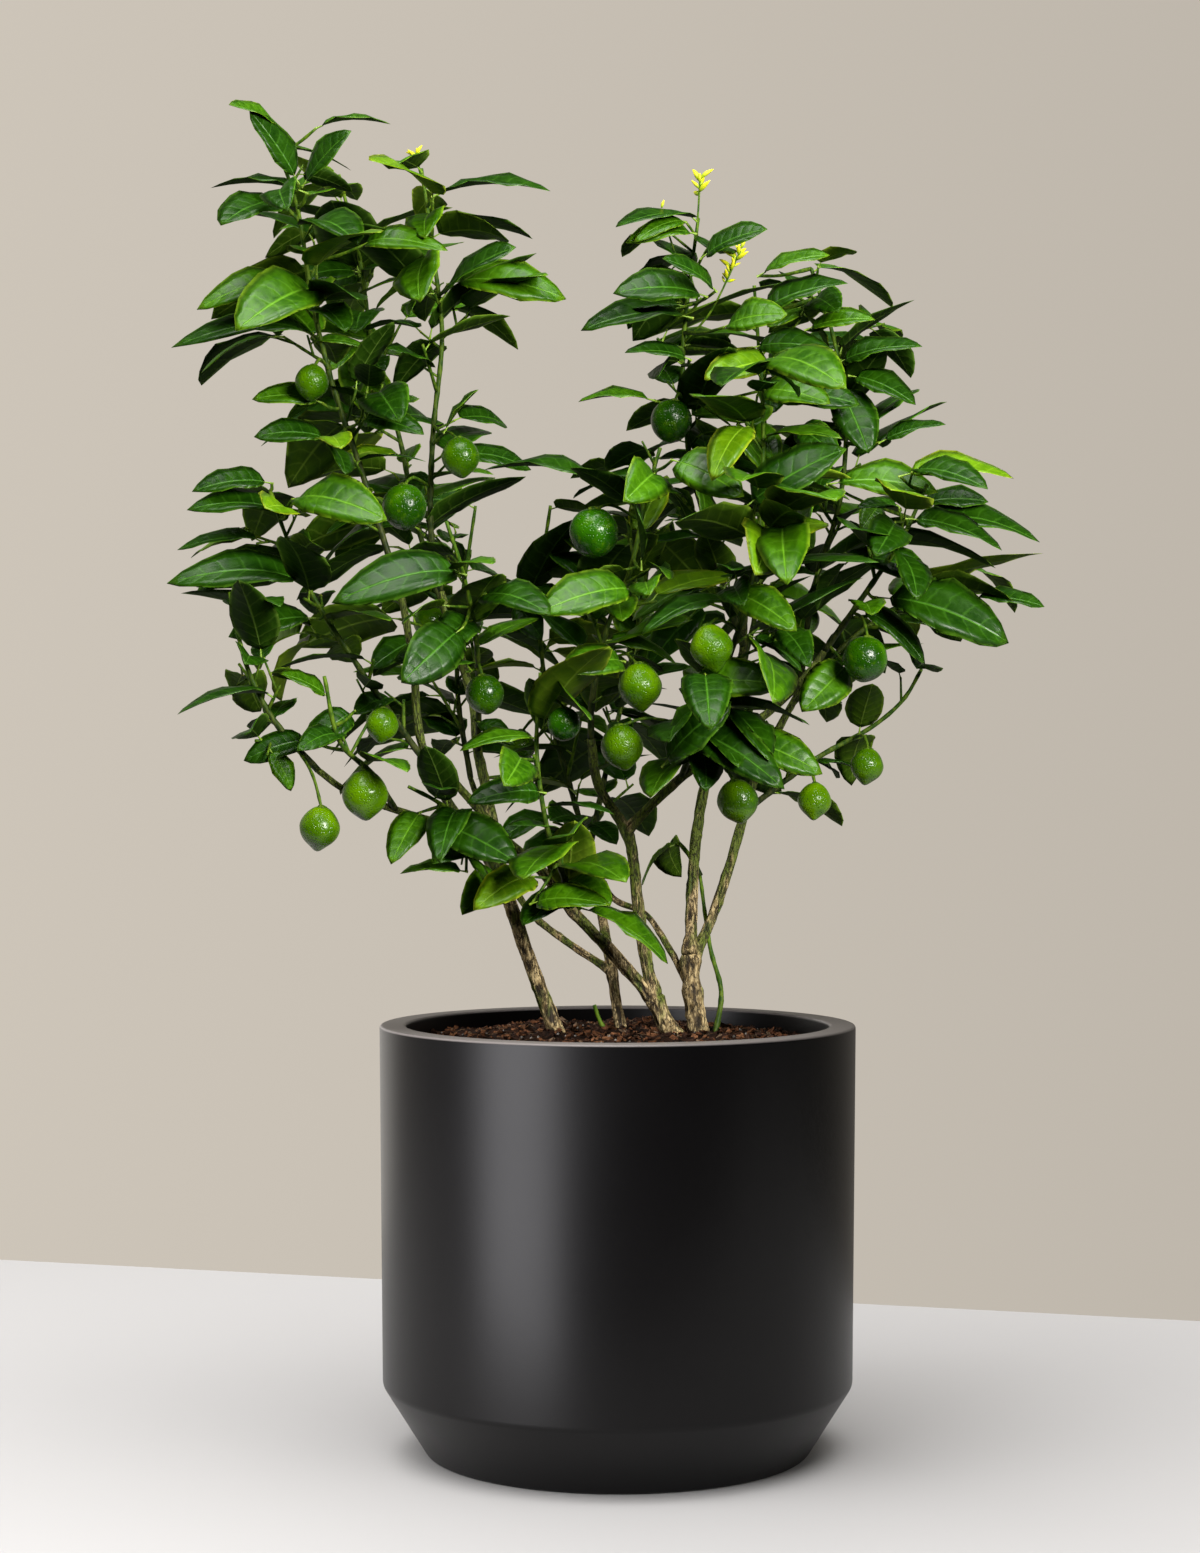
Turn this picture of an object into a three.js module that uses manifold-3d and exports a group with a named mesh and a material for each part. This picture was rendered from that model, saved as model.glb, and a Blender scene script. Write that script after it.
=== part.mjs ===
// Key lime tree in a round pot: several stems from one root, boughs, and masses of leaves with limes.
// Millimetres, +Z up. The origin is on the floor under the middle of the pot, and the front faces -Y.
import * as THREE from 'three';
import { mergeVertices } from 'three/addons/utils/BufferGeometryUtils.js';
import Module from 'manifold-3d';

const wasm = await Module();
wasm.setup();

// Pot: a plain cylinder with a bevelled foot. The inside is filled with soil.
const pot = {
  height: 272, rimRadius: 152.5, waistRadius: 150.3, bevelHeight: 44, footRadius: 122.5,
  innerRadius: 135.6, innerWaistRadius: 133, innerWaistHeight: 50, innerFloorRadius: 112, floor: 18,
  edge: 2, sides: 36,
};
const soil = { level: 266, plateauRadius: 80, edgeLevel: 260 };
const clearance = 0.3;
const ground = soil.level + clearance;

// The path pieces of every limb and leader, and the room in mm that leaves keep.
const pathPieces = 24;
const leafRoom = 9;
const limbRoom = 4.5;
const neighbourRoom = 3;
const fruitRoom = 3;
const potRoom = 6;

// Stems rise from the soil. Points are where each one passes, radius is foot and tip.
const stems = [
  { name: 'stem_left', points: [[-39, -10], [-53, -12, 304], [-64, -15, 336], [-75, -20, 368]],
    radius: [4.9, 3.9], flare: 1.6 },
  { name: 'stem_back', points: [[2, 12], [-4, 22, 305], [-9, 42, 334], [-13, 62, 362]],
    radius: [3.6, 2.7], flare: 1.2 },
  { name: 'stem_middle', points: [[36, -14], [30, -13, 275], [23, -11, 290]],
    radius: [5.2, 4.6], flare: 1.4 },
  { name: 'stem_right', points: [[52, -3], [48, -2, 292], [47, 0, 316]],
    radius: [5.7, 5.3], flare: 1.8 },
  { name: 'stem_shoot', points: [[63, 2], [67, 8, 292], [60, 18, 321], [54, 26, 366]],
    radius: [1.7, 1.1], flare: 0.5 },
  { name: 'stem_stub', points: [[-7, -2], [-11, -2, 273], [-15, -2, 284]],
    radius: [1.5, 1.1], flare: 0.3 },
];

// Boughs leave a stem or a bough at a share of its length. Points are where each one passes.
const boughs = [
  { name: 'bough_left_outer', on: ['stem_left', 1], radius: [3.3, 2.1],
    points: [[-111, -35, 421], [-125, -46, 461], [-128, -48, 502], [-137, -44, 548]] },
  { name: 'bough_left_inner', on: ['stem_left', 0.93], radius: [3.6, 2.4],
    points: [[-84, -8, 421], [-90, -4, 450], [-94, 2, 482], [-114, 10, 550]] },
  { name: 'bough_left_low', on: ['bough_left_outer', 0.18], radius: [2.5, 1.9],
    points: [[-136, -62, 409], [-166, -78, 421], [-184, -84, 434]] },
  { name: 'bough_back_left', on: ['stem_back', 0.42], radius: [2.4, 1.8],
    points: [[-38, 36, 326], [-61, 52, 346], [-80, 84, 380], [-100, 118, 430]] },
  { name: 'bough_middle_left', on: ['stem_middle', 0.9], radius: [4.2, 2.3],
    points: [[-6, -14, 321], [-30, -17, 346], [-50, -26, 373], [-68, -36, 388], [-104, -66, 430]] },
  { name: 'bough_middle_right', on: ['stem_middle', 1], radius: [4.1, 2.6],
    points: [[17, -12, 320], [12, -16, 356], [7, -24, 393], [-12, -36, 424], [-17, -46, 454]] },
  { name: 'bough_crossing', on: ['bough_middle_right', 0.62], radius: [3, 2.1],
    points: [[33, -42, 424], [70, -56, 454], [94, -62, 471], [117, -62, 493], [128, -60, 508]] },
  { name: 'bough_right_upright', on: ['stem_right', 1], radius: [4, 2.1],
    points: [[48, 8, 352], [51, 16, 390], [57, 28, 424], [69, 42, 462], [82, 54, 505], [85, 60, 540]] },
  { name: 'bough_right_outer', on: ['stem_right', 0.9], radius: [3.5, 2.1],
    points: [[64, 8, 347], [80, 6, 400], [91, 8, 436], [103, 12, 459], [118, 16, 486]] },
  { name: 'bough_back_middle', on: ['stem_right', 0.6], radius: [2.2, 1.7],
    points: [[29, 16, 327], [17, 30, 342], [-4, 48, 352], [-18, 76, 384]] },
];

// Masses: a leader from a bough with leaves and side twigs, and limes at their places as x, y, z, radius.
// A size makes a mass's leaves smaller than the others.
const masses = [
  { name: 'left_outer_top', on: ['bough_left_outer', 1], seed: 1199, twig: 44, gap: 18,
    points: [[-160, -48, 620], [-180, -48, 680], [-193, -44, 735], [-202, -40, 790], [-222, -36, 846]],
    limes: [[-189, -74, 674, 10.5]] },
  { name: 'left_middle_top', on: ['bough_left_inner', 0.72], seed: 1479, twig: 42, gap: 25,
    points: [[-130, 50, 590], [-146, 74, 660], [-164, 80, 720], [-172, 78, 776], [-186, 72, 834]],
    limes: [] },
  { name: 'left_inner_top', on: ['bough_left_inner', 1], seed: 865, twig: 54, gap: 16,
    points: [[-120, -4, 590], [-118, -12, 650], [-112, -16, 710], [-117, -18, 760], [-125, -18, 818]],
    limes: [[-99, -40, 632, 12], [-134, -44, 600, 14]] },
  { name: 'left_outer_mid', on: ['bough_left_outer', 0.4], seed: 803, twig: 40, gap: 12,
    points: [[-162, -66, 500], [-190, -68, 544], [-206, -66, 580], [-216, -62, 608]], limes: [] },
  { name: 'left_far_low', on: ['bough_left_low', 1], seed: 912, twig: 24, gap: 11, size: 0.76,
    points: [[-208, -96, 462], [-222, -102, 488], [-230, -104, 514], [-236, -102, 542]],
    limes: [[-181, -104, 400, 12.4]] },
  { name: 'left_low_front', on: ['bough_left_low', 0.5], seed: 943, twig: 26, gap: 11, size: 0.8,
    points: [[-150, -96, 432], [-168, -120, 452], [-176, -128, 490]],
    limes: [[-153, -112, 420, 14], [-143, -106, 462, 10]] },
  { name: 'left_inner_mid', on: ['bough_left_inner', 0.45], seed: 823, twig: 36, gap: 14,
    points: [[-88, -34, 486], [-88, -72, 516], [-94, -100, 552], [-104, -112, 584]],
    limes: [[-83, -58, 482, 12]] },
  { name: 'left_low_mid', on: ['stem_left', 0.86], seed: 432, twig: 28, gap: 11,
    points: [[-90, -58, 396], [-110, -82, 414], [-128, -94, 424]], limes: [] },
  { name: 'left_back', on: ['bough_back_left', 1], seed: 1413, twig: 46, gap: 27,
    points: [[-110, 138, 490], [-108, 152, 550], [-98, 150, 620]], limes: [[-130, 156, 540, 12]] },
  { name: 'middle_low', on: ['bough_middle_left', 0.4], seed: 529, twig: 32, gap: 14,
    points: [[-34, -56, 368], [-44, -84, 400], [-50, -90, 446], [-48, -80, 494]],
    limes: [[-33, -110, 462, 10]] },
  { name: 'middle_deep', on: ['stem_back', 1], seed: 969, twig: 40, gap: 24,
    points: [[-30, 70, 420], [-46, 74, 480], [-52, 66, 550], [-44, 50, 610]], limes: [[-66, 98, 452, 11]] },
  { name: 'middle_front', on: ['bough_middle_right', 1], seed: 896, twig: 40, gap: 15,
    points: [[-16, -52, 480], [-8, -58, 520], [8, -66, 560], [16, -68, 598], [26, -66, 634]],
    limes: [[13, -96, 486, 13.5], [-15, -84, 580, 15]] },
  { name: 'middle_back', on: ['bough_back_middle', 1], seed: 905, twig: 46, gap: 29,
    points: [[-6, 110, 440], [10, 132, 510], [22, 134, 580], [26, 116, 650]], limes: [[20, 158, 520, 13]] },
  { name: 'front_right', on: ['bough_crossing', 0.3], seed: 1048, twig: 40, gap: 17,
    points: [[52, -84, 466], [68, -106, 505], [82, -108, 555], [88, -96, 620], [88, -82, 684]],
    limes: [[2, -98, 449, 13], [55, -132, 508, 13], [73, -84, 416, 12.8]] },
  { name: 'right_left_top', on: ['bough_right_upright', 0.9], seed: 912, twig: 44, gap: 16,
    points: [[62, 24, 580], [46, 6, 640], [42, 0, 700], [46, 0, 745], [52, 0, 790]],
    limes: [[34, -28, 656, 13.2]] },
  { name: 'right_outer_top', on: ['bough_right_outer', 1], seed: 515, twig: 44, gap: 14,
    points: [[126, 4, 550], [142, -6, 605], [146, -10, 660], [138, -10, 712], [124, -8, 756]], limes: [] },
  { name: 'right_outer_mid', on: ['bough_crossing', 1], seed: 963, twig: 40, gap: 12,
    points: [[150, -76, 540], [174, -80, 576], [190, -78, 610]], limes: [[150, -98, 502, 13.6]] },
  { name: 'right_far', on: ['bough_right_outer', 0.95], seed: 523, twig: 36, gap: 12,
    points: [[150, 28, 518], [182, 32, 540], [208, 26, 552], [230, 18, 566]], limes: [] },
  { name: 'right_low', on: ['bough_right_outer', 0.55], seed: 1281, twig: 20, gap: 22, size: 0.8,
    points: [[126, 4, 441], [163, 4, 462], [184, 4, 480], [196, 4, 500]],
    limes: [[158, -26, 438, 10.6], [125, -22, 416, 10.8]] },
  { name: 'right_back', on: ['bough_right_upright', 0.5], seed: 1660, twig: 46, gap: 27,
    points: [[78, 84, 480], [96, 104, 550], [104, 102, 620], [98, 88, 690], [92, 74, 760]],
    limes: [[128, 128, 540, 12]] },
  { name: 'shoot_leaves', on: ['stem_shoot', 1], seed: 1316, twig: 16, gap: 12, size: 0.7,
    points: [[48, 30, 378], [40, 34, 388]], limes: [] },
];

// Leaves: length in mm, and width, arch, fold and thickness as shares of length or width.
const leafSize = {
  shortest: 52, longest: 80, width: 0.52, arch: [0.2, 0.6], fold: [0.15, 0.45], thick: 0.03,
};
// The corners of a leaf's outline, as shares of its length and of its half width.
const near = { along: 0.34, reach: 0.92 };
const far = { along: 0.68, reach: 0.86 };
const keelPlace = 0.5;
// Where a leaf is tested for room: along its middle line, and along and out to its edges.
const leafTests = { middle: [0.35, 0.6, 0.82, 1], edges: [[0.3, 0.95], [0.5, 1], [0.68, 0.9]] };

// How leaves and side twigs stand. A mass's gap is mm between leaves on its leader, and its side twigs are
// some gaps apart. Firsts are mm from the leader's root, angles are degrees, places and sizes are shares.
const goldenTurn = 137.5;
const sideTwigs = {
  gaps: 2, first: 22, last: 0.97, loose: 0.5, seedTurn: 31, turnSpread: 40, rise: 40, riseSpread: 16,
  taper: [1.1, 0.6], lengths: [0.75, 1.15], tested: [0.5, 0.75, 1],
};
const twigLeaves = { places: [0.4, 0.7], turn: 90, turnSpread: 50, rise: 32, size: 0.92 };
const twigEnd = { place: 0.98, turn: 90, rise: 78, size: 1 };
const leaderLeaves = {
  first: 14, last: 0.96, loose: 0.4, seedTurn: 57, turnSpread: 30, rise: 32, sizes: [1.05, 0.8],
};
const leaderEnd = { place: 0.99, seedTurn: 13, rise: 36, size: 0.8 };
const leafHang = { level: 0.62, roll: 42 };
const attempts = { all: 7, fullSize: 4, shrink: 0.76, turn: 83 };

// Radii in mm of foot and tip, and the sides and steps of each kind of tube.
const leaderForm = { radius: [2.1, 1.1], sides: 4, steps: 5 };
const twigForm = { radius: [1.35, 0.95], sides: 3 };
const stalkForm = { radius: 1.1, sides: 3, firstSample: 3 };
const limbForm = { sides: 6, thinSides: 5, thinRadius: 2, steps: 6, flareLength: 12, footReach: 0.3 };
const roomMargin = { side: 1.3 * clearance, end: 1.1 * clearance };
const limeForm = { around: 6, down: 4, stretch: 1.06, stalkHeight: 0.8 };
const earthBox = { width: 400, depth: 100 };

const radians = (degrees) => degrees * Math.PI / 180;
const vector = (point) => new THREE.Vector3(...point);
const mix = (first, last, share) => first + (last - first) * share;

// Park and Miller's generator: the same seed always gives the same plant.
function seeded(seed) {
  let state = seed * 7919 + 17;
  return () => {
    state = state * 48271 % 2147483647;
    return state / 2147483647;
  };
}

// A smooth path through a few points, kept as a polyline, with a place and a direction at any share.
class Path {
  constructor(points, pieces = pathPieces) {
    this.points = new THREE.CatmullRomCurve3(points, false, 'catmullrom', 0.5).getPoints(pieces);
    this.reached = [0];
    for (let i = 1; i <= pieces; i += 1) {
      this.reached.push(this.reached[i - 1] + this.points[i].distanceTo(this.points[i - 1]));
    }
    this.length = this.reached[pieces];
  }

  at(share) {
    const goal = share * this.length;
    let piece = 0;
    while (piece < this.points.length - 2 && this.reached[piece + 1] < goal) piece += 1;
    const span = this.reached[piece + 1] - this.reached[piece];
    const place = (goal - this.reached[piece]) / span;
    const direction = this.points[piece + 1].clone().sub(this.points[piece]).divideScalar(span);
    return { point: this.points[piece].clone().lerp(this.points[piece + 1], place), direction };
  }
}

// Two unit vectors square to a direction.
function squareTo(direction) {
  const guide = Math.abs(direction.z) > 0.5 ? new THREE.Vector3(1, 0, 0) : new THREE.Vector3(0, 0, 1);
  const first = guide.addScaledVector(direction, -guide.dot(direction)).normalize();
  return [first, direction.clone().cross(first)];
}

// A closed tube along a path. Its two ends go further out by the reach.
function tube(path, radiusAt, sides, steps, reach = 0) {
  const positions = [];
  const index = [];
  let [side] = squareTo(path.at(0).direction);
  for (let step = 0; step <= steps; step += 1) {
    const { point, direction } = path.at(step / steps);
    const radius = radiusAt(step / steps);
    side = side.clone().addScaledVector(direction, -side.dot(direction)).normalize();
    const other = direction.clone().cross(side);
    if (step === 0) point.addScaledVector(direction, -reach);
    if (step === steps) point.addScaledVector(direction, reach);
    for (let k = 0; k < sides; k += 1) {
      const angle = 2 * Math.PI * k / sides;
      const corner = point.clone()
        .addScaledVector(side, radius * Math.cos(angle)).addScaledVector(other, radius * Math.sin(angle));
      positions.push(...corner.toArray());
    }
  }
  const ring = (step, k) => step * sides + k % sides;
  for (let step = 0; step < steps; step += 1) {
    for (let k = 0; k < sides; k += 1) {
      index.push(ring(step, k), ring(step, k + 1), ring(step + 1, k + 1));
      index.push(ring(step, k), ring(step + 1, k + 1), ring(step + 1, k));
    }
  }
  for (let k = 1; k < sides - 1; k += 1) {
    index.push(ring(0, 0), ring(0, k + 1), ring(0, k));
    index.push(ring(steps, 0), ring(steps, k), ring(steps, k + 1));
  }
  return indexed(positions, index);
}

function indexed(positions, index) {
  const geometry = new THREE.BufferGeometry();
  geometry.setAttribute('position', new THREE.Float32BufferAttribute(positions, 3));
  geometry.setIndex(index);
  return geometry;
}

// Between three.js geometry and solids that can be joined and cut.
function solid(geometry) {
  const bare = geometry.clone();
  bare.deleteAttribute('normal');
  bare.deleteAttribute('uv');
  const merged = mergeVertices(bare, 1e-4);
  return new wasm.Manifold(new wasm.Mesh({
    numProp: 3,
    vertProperties: new Float32Array(merged.attributes.position.array),
    triVerts: new Uint32Array(merged.index.array),
  }));
}

function geometryOf(body) {
  const mesh = body.getMesh();
  return indexed(Array.from(mesh.vertProperties), Array.from(mesh.triVerts));
}

// The biggest piece alone: loose scraps are dropped and sealed hollows are filled.
function largest(body) {
  return body.decompose().reduce((best, piece) => (piece.volume() > best.volume() ? piece : best));
}

const linear = ([first, last]) => (share) => mix(first, last, share);

// The solid of a limb or leader, and the room that its neighbours leave it.
function grownTube(path, radiusAt, sides, steps) {
  return {
    body: solid(tube(path, radiusAt, sides, steps)),
    room: solid(tube(path, (share) => radiusAt(share) + roomMargin.side, sides, steps, roomMargin.end)),
  };
}

// Limbs by name, each with its path, its radius along it, its solid and its room.
const limbs = new Map();
const earth = solid(new THREE.BoxGeometry(earthBox.width, earthBox.width, earthBox.depth)
  .translate(0, 0, ground - earthBox.depth / 2));

function addLimb({ name, points, on, radius, flare = 0 }) {
  const parent = on && limbs.get(on[0]);
  const places = points.map(([x, y, z = ground]) => new THREE.Vector3(x, y, z));
  const below = places[0].clone().lerp(places[1], -limbForm.footReach);
  places.unshift(parent ? parent.path.at(on[1]).point : below);
  const path = new Path(places);
  const flareAt = (share) => flare * Math.exp(-share * path.length / limbForm.flareLength);
  const radiusAt = (share) => mix(...radius, share) + flareAt(share);
  const sides = radius[0] > limbForm.thinRadius ? limbForm.sides : limbForm.thinSides;
  const { body, room } = grownTube(path, radiusAt, sides, limbForm.steps);
  const taken = parent ? [...limbs.values()].map((limb) => limb.room) : [earth];
  const cut = largest(taken.reduce((rest, other) => rest.subtract(other), body));
  limbs.set(name, { name, path, radiusAt, room, body: cut });
}

// How near a point comes to a path's samples.
const nearness = (point, path) => Math.min(...path.points.map((sample) => sample.distanceTo(point)));

// A leaf: its middle line arches, and its two halves fold up from it.
function shapeLeaf(base, direction, roll, length, arch, fold) {
  const up = new THREE.Vector3(0, 0, 1).addScaledVector(direction, -direction.z).normalize();
  const normal = up.applyAxisAngle(direction, roll);
  const across = direction.clone().cross(normal);
  const middle = (share) => base.clone()
    .addScaledVector(direction, length * share)
    .addScaledVector(normal, -length * arch * share * share);
  const edge = (share, side, reach) => middle(share)
    .addScaledVector(across, side * reach * length * leafSize.width / 2)
    .addScaledVector(normal, reach * fold * length * leafSize.width / 2);
  return { normal, length, middle, edge };
}

// Six corners round a flat upper face, and one keel point under its middle.
function leafGeometry({ middle, edge, normal, length }) {
  const corners = [
    middle(0), edge(near.along, 1, near.reach), edge(far.along, 1, far.reach), middle(1),
    edge(far.along, -1, far.reach), edge(near.along, -1, near.reach),
    middle(keelPlace).addScaledVector(normal, -length * leafSize.thick),
  ];
  const upper = [0, 1, 5, 1, 2, 5, 2, 4, 5, 2, 3, 4];
  const lower = [0, 1, 2, 3, 4, 5].flatMap((k) => [6, (k + 1) % 6, k]);
  return indexed(corners.flatMap((corner) => corner.toArray()), [...upper, ...lower]);
}

// The points that a leaf is tested at: its middle line, its tip and its edges.
function leafSamples({ middle, edge }) {
  return [
    ...leafTests.middle.map(middle),
    ...[1, -1].flatMap((side) => leafTests.edges.map(([along, reach]) => edge(along, side, reach))),
  ];
}

// Own space: nearer to its own leader than to any other, clear of limbs, limes, pot and soil.
function hasRoom(point, mass) {
  const own = nearness(point, mass.path);
  const strange = (other) => other !== mass && nearness(point, other.path) < own + neighbourRoom;
  if (grownMasses.some(strange)) return false;
  for (const limb of limbs.values()) {
    if (limb.path.points.some((sample, i) => (
      sample.distanceTo(point) < limb.radiusAt(i / pathPieces) + limbRoom))) return false;
  }
  if (allLimes.some((lime) => lime.centre.distanceTo(point) < lime.radius + fruitRoom)) return false;
  const overPot = Math.hypot(point.x, point.y) < pot.rimRadius + potRoom;
  return !(overPot && point.z < pot.height + potRoom);
}

// Leaves and twigs of one mass by the seeded rule. Whatever would leave its space is skipped.
function growMass(mass) {
  const random = seeded(mass.seed);
  const between = ([first, last]) => mix(first, last, random());
  mass.leaves = [];
  mass.twigs = [];

  const tryLeaf = (place, angle, rise, size) => {
    const spin = random() * 2 - 1;
    const length = size * (mass.size ?? 1) * mix(leafSize.shortest, leafSize.longest, random());
    const arch = between(leafSize.arch);
    const fold = between(leafSize.fold);
    for (let go = 0; go < attempts.all; go += 1) {
      const reach = length * (go < attempts.fullSize ? 1 : attempts.shrink);
      const [first, second] = squareTo(place.direction);
      const turn = angle + radians(attempts.turn) * go;
      const direction = first.multiplyScalar(Math.cos(turn)).addScaledVector(second, Math.sin(turn))
        .multiplyScalar(Math.cos(rise)).addScaledVector(place.direction, Math.sin(rise));
      direction.z *= leafHang.level;
      direction.normalize();
      const leaf = shapeLeaf(place.point, direction, radians(leafHang.roll) * spin, reach, arch, fold);
      leaf.samples = leafSamples(leaf);
      const crowded = mass.leaves.some((other) => other.samples.some((there) => (
        leaf.samples.some((here) => here.distanceTo(there) < leafRoom))));
      if (!crowded && leaf.samples.every((point) => hasRoom(point, mass))) {
        mass.leaves.push(leaf);
        return;
      }
    }
  };

  // Side twigs: golden-angle turns up the leader, shorter towards its top.
  const twigGap = mass.gap * sideTwigs.gaps;
  const twigCount = Math.max(1, Math.floor((mass.path.length - sideTwigs.first) / twigGap));
  for (let k = 0; k < twigCount; k += 1) {
    const share = (sideTwigs.first + (k + sideTwigs.loose * random()) * twigGap) / mass.path.length;
    const place = mass.path.at(Math.min(share, sideTwigs.last));
    const [first, second] = squareTo(place.direction);
    const angle = radians(goldenTurn * k + mass.seed * sideTwigs.seedTurn + sideTwigs.turnSpread * random());
    const rise = radians(sideTwigs.rise + sideTwigs.riseSpread * (random() - 0.5));
    const heading = first.multiplyScalar(Math.cos(angle)).addScaledVector(second, Math.sin(angle))
      .multiplyScalar(Math.cos(rise)).addScaledVector(place.direction, Math.sin(rise));
    const length = mass.twig * mix(...sideTwigs.taper, share) * between(sideTwigs.lengths);
    const twig = new Path([place.point, place.point.clone().addScaledVector(heading, length)], 1);
    const turns = twigLeaves.places.map((part, n) => (
      radians(twigLeaves.turn * (n % 2 === 0 ? 1 : -1) + twigLeaves.turnSpread * (random() - 0.5))));
    if (!sideTwigs.tested.every((part) => hasRoom(twig.at(part).point, mass))) continue;
    mass.twigs.push(twig);
    twigLeaves.places.forEach((part, n) => {
      tryLeaf(twig.at(part), turns[n], radians(twigLeaves.rise), twigLeaves.size);
    });
    tryLeaf(twig.at(twigEnd.place), radians(twigEnd.turn), radians(twigEnd.rise), twigEnd.size);
  }

  // Leaves along the leader, and one that ends it.
  const leafCount = Math.floor((mass.path.length - leaderLeaves.first) / mass.gap);
  for (let k = 0; k < leafCount; k += 1) {
    const share = (leaderLeaves.first + (k + leaderLeaves.loose * random()) * mass.gap) / mass.path.length;
    const seedTurn = mass.seed * leaderLeaves.seedTurn;
    const angle = radians(goldenTurn * k + seedTurn + leaderLeaves.turnSpread * random());
    const place = mass.path.at(Math.min(share, leaderLeaves.last));
    tryLeaf(place, angle, radians(leaderLeaves.rise), mix(...leaderLeaves.sizes, share));
  }
  const endTurn = radians(mass.seed * leaderEnd.seedTurn);
  tryLeaf(mass.path.at(leaderEnd.place), endTurn, radians(leaderEnd.rise), leaderEnd.size);
}

// A lime hangs on a stalk from the nearest sample of its leader, and is a little longer than wide.
function limeSolids(mass) {
  return mass.limes.flatMap((lime) => {
    const top = lime.centre.clone().add(new THREE.Vector3(0, 0, lime.radius * limeForm.stalkHeight));
    const root = mass.path.points.slice(stalkForm.firstSample).reduce((best, sample) => (
      sample.distanceTo(top) < best.distanceTo(top) ? sample : best));
    const fruit = new THREE.SphereGeometry(lime.radius, limeForm.around, limeForm.down)
      .rotateX(Math.PI / 2).scale(1, 1, limeForm.stretch).translate(...lime.centre.toArray());
    const stalk = tube(new Path([root, top], 1), () => stalkForm.radius, stalkForm.sides, 1);
    return [solid(fruit), solid(stalk)];
  });
}

function massSolid(mass) {
  const { radius, sides, steps } = leaderForm;
  const { body: leader, room } = grownTube(mass.path, linear(radius), sides, steps);
  const pieces = [leader];
  for (const twig of mass.twigs) pieces.push(solid(tube(twig, linear(twigForm.radius), twigForm.sides, 1)));
  for (const leaf of mass.leaves) pieces.push(solid(leafGeometry(leaf)));
  const body = wasm.Manifold.union([...pieces, ...limeSolids(mass)]);
  const cleared = takenRooms.reduce((rest, cut) => rest.subtract(cut), body);
  takenRooms.push(room);
  return largest(cleared);
}

[...stems, ...boughs].forEach(addLimb);
const takenRooms = [...limbs.values()].map((limb) => limb.room);

const grownMasses = masses.map((mass) => ({
  ...mass,
  path: new Path([limbs.get(mass.on[0]).path.at(mass.on[1]).point, ...mass.points.map(vector)]),
  limes: mass.limes.map(([x, y, z, radius]) => ({ centre: new THREE.Vector3(x, y, z), radius })),
}));
const allLimes = grownMasses.flatMap((mass) => mass.limes);
grownMasses.forEach(growMass);

// A body of revolution from an outline of radius and height.
function turned(outline) {
  const points = outline.map((pair) => new THREE.Vector2(...pair));
  return new THREE.LatheGeometry(points, pot.sides).rotateX(Math.PI / 2);
}

const potOutline = [
  [0, 0], [pot.footRadius - pot.edge, 0], [pot.footRadius, pot.edge], [pot.waistRadius, pot.bevelHeight],
  [pot.rimRadius, pot.height - pot.edge], [pot.rimRadius - pot.edge, pot.height],
  [pot.innerRadius + pot.edge, pot.height], [pot.innerRadius, pot.height - pot.edge],
  [pot.innerWaistRadius, pot.innerWaistHeight], [pot.innerFloorRadius, pot.floor], [0, pot.floor],
];
const fit = clearance * 1.2;
const soilOutline = [
  [0, pot.floor + clearance], [pot.innerFloorRadius - fit, pot.floor + clearance],
  [pot.innerWaistRadius - fit, pot.innerWaistHeight], [pot.innerRadius - 2 * fit, soil.edgeLevel],
  [soil.plateauRadius, soil.level], [0, soil.level],
];

const materials = {
  pot: new THREE.MeshStandardMaterial({ color: 0x1b1a1b, roughness: 0.42, metalness: 0 }),
  soil: new THREE.MeshStandardMaterial({ color: 0x2f1c14, roughness: 0.95, metalness: 0 }),
  bark: new THREE.MeshStandardMaterial({ color: 0x75623f, roughness: 0.85, metalness: 0 }),
  shoot: new THREE.MeshStandardMaterial({ color: 0x4d7a26, roughness: 0.6, metalness: 0 }),
  leaf: new THREE.MeshStandardMaterial({ color: 0x1f5a17, roughness: 0.4, metalness: 0, flatShading: true }),
};

const tree = new THREE.Group();

function addMesh(name, geometry, material) {
  const mesh = new THREE.Mesh(geometry, material);
  mesh.name = name;
  tree.add(mesh);
}

addMesh('pot', turned(potOutline), materials.pot);
addMesh('soil', turned(soilOutline), materials.soil);
for (const { name, body } of limbs.values()) {
  addMesh(name, geometryOf(body), name.startsWith('stem_s') ? materials.shoot : materials.bark);
}
for (const mass of grownMasses) addMesh(`mass_${mass.name}`, geometryOf(massSolid(mass)), materials.leaf);

export default tree;
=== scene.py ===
import math

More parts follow.
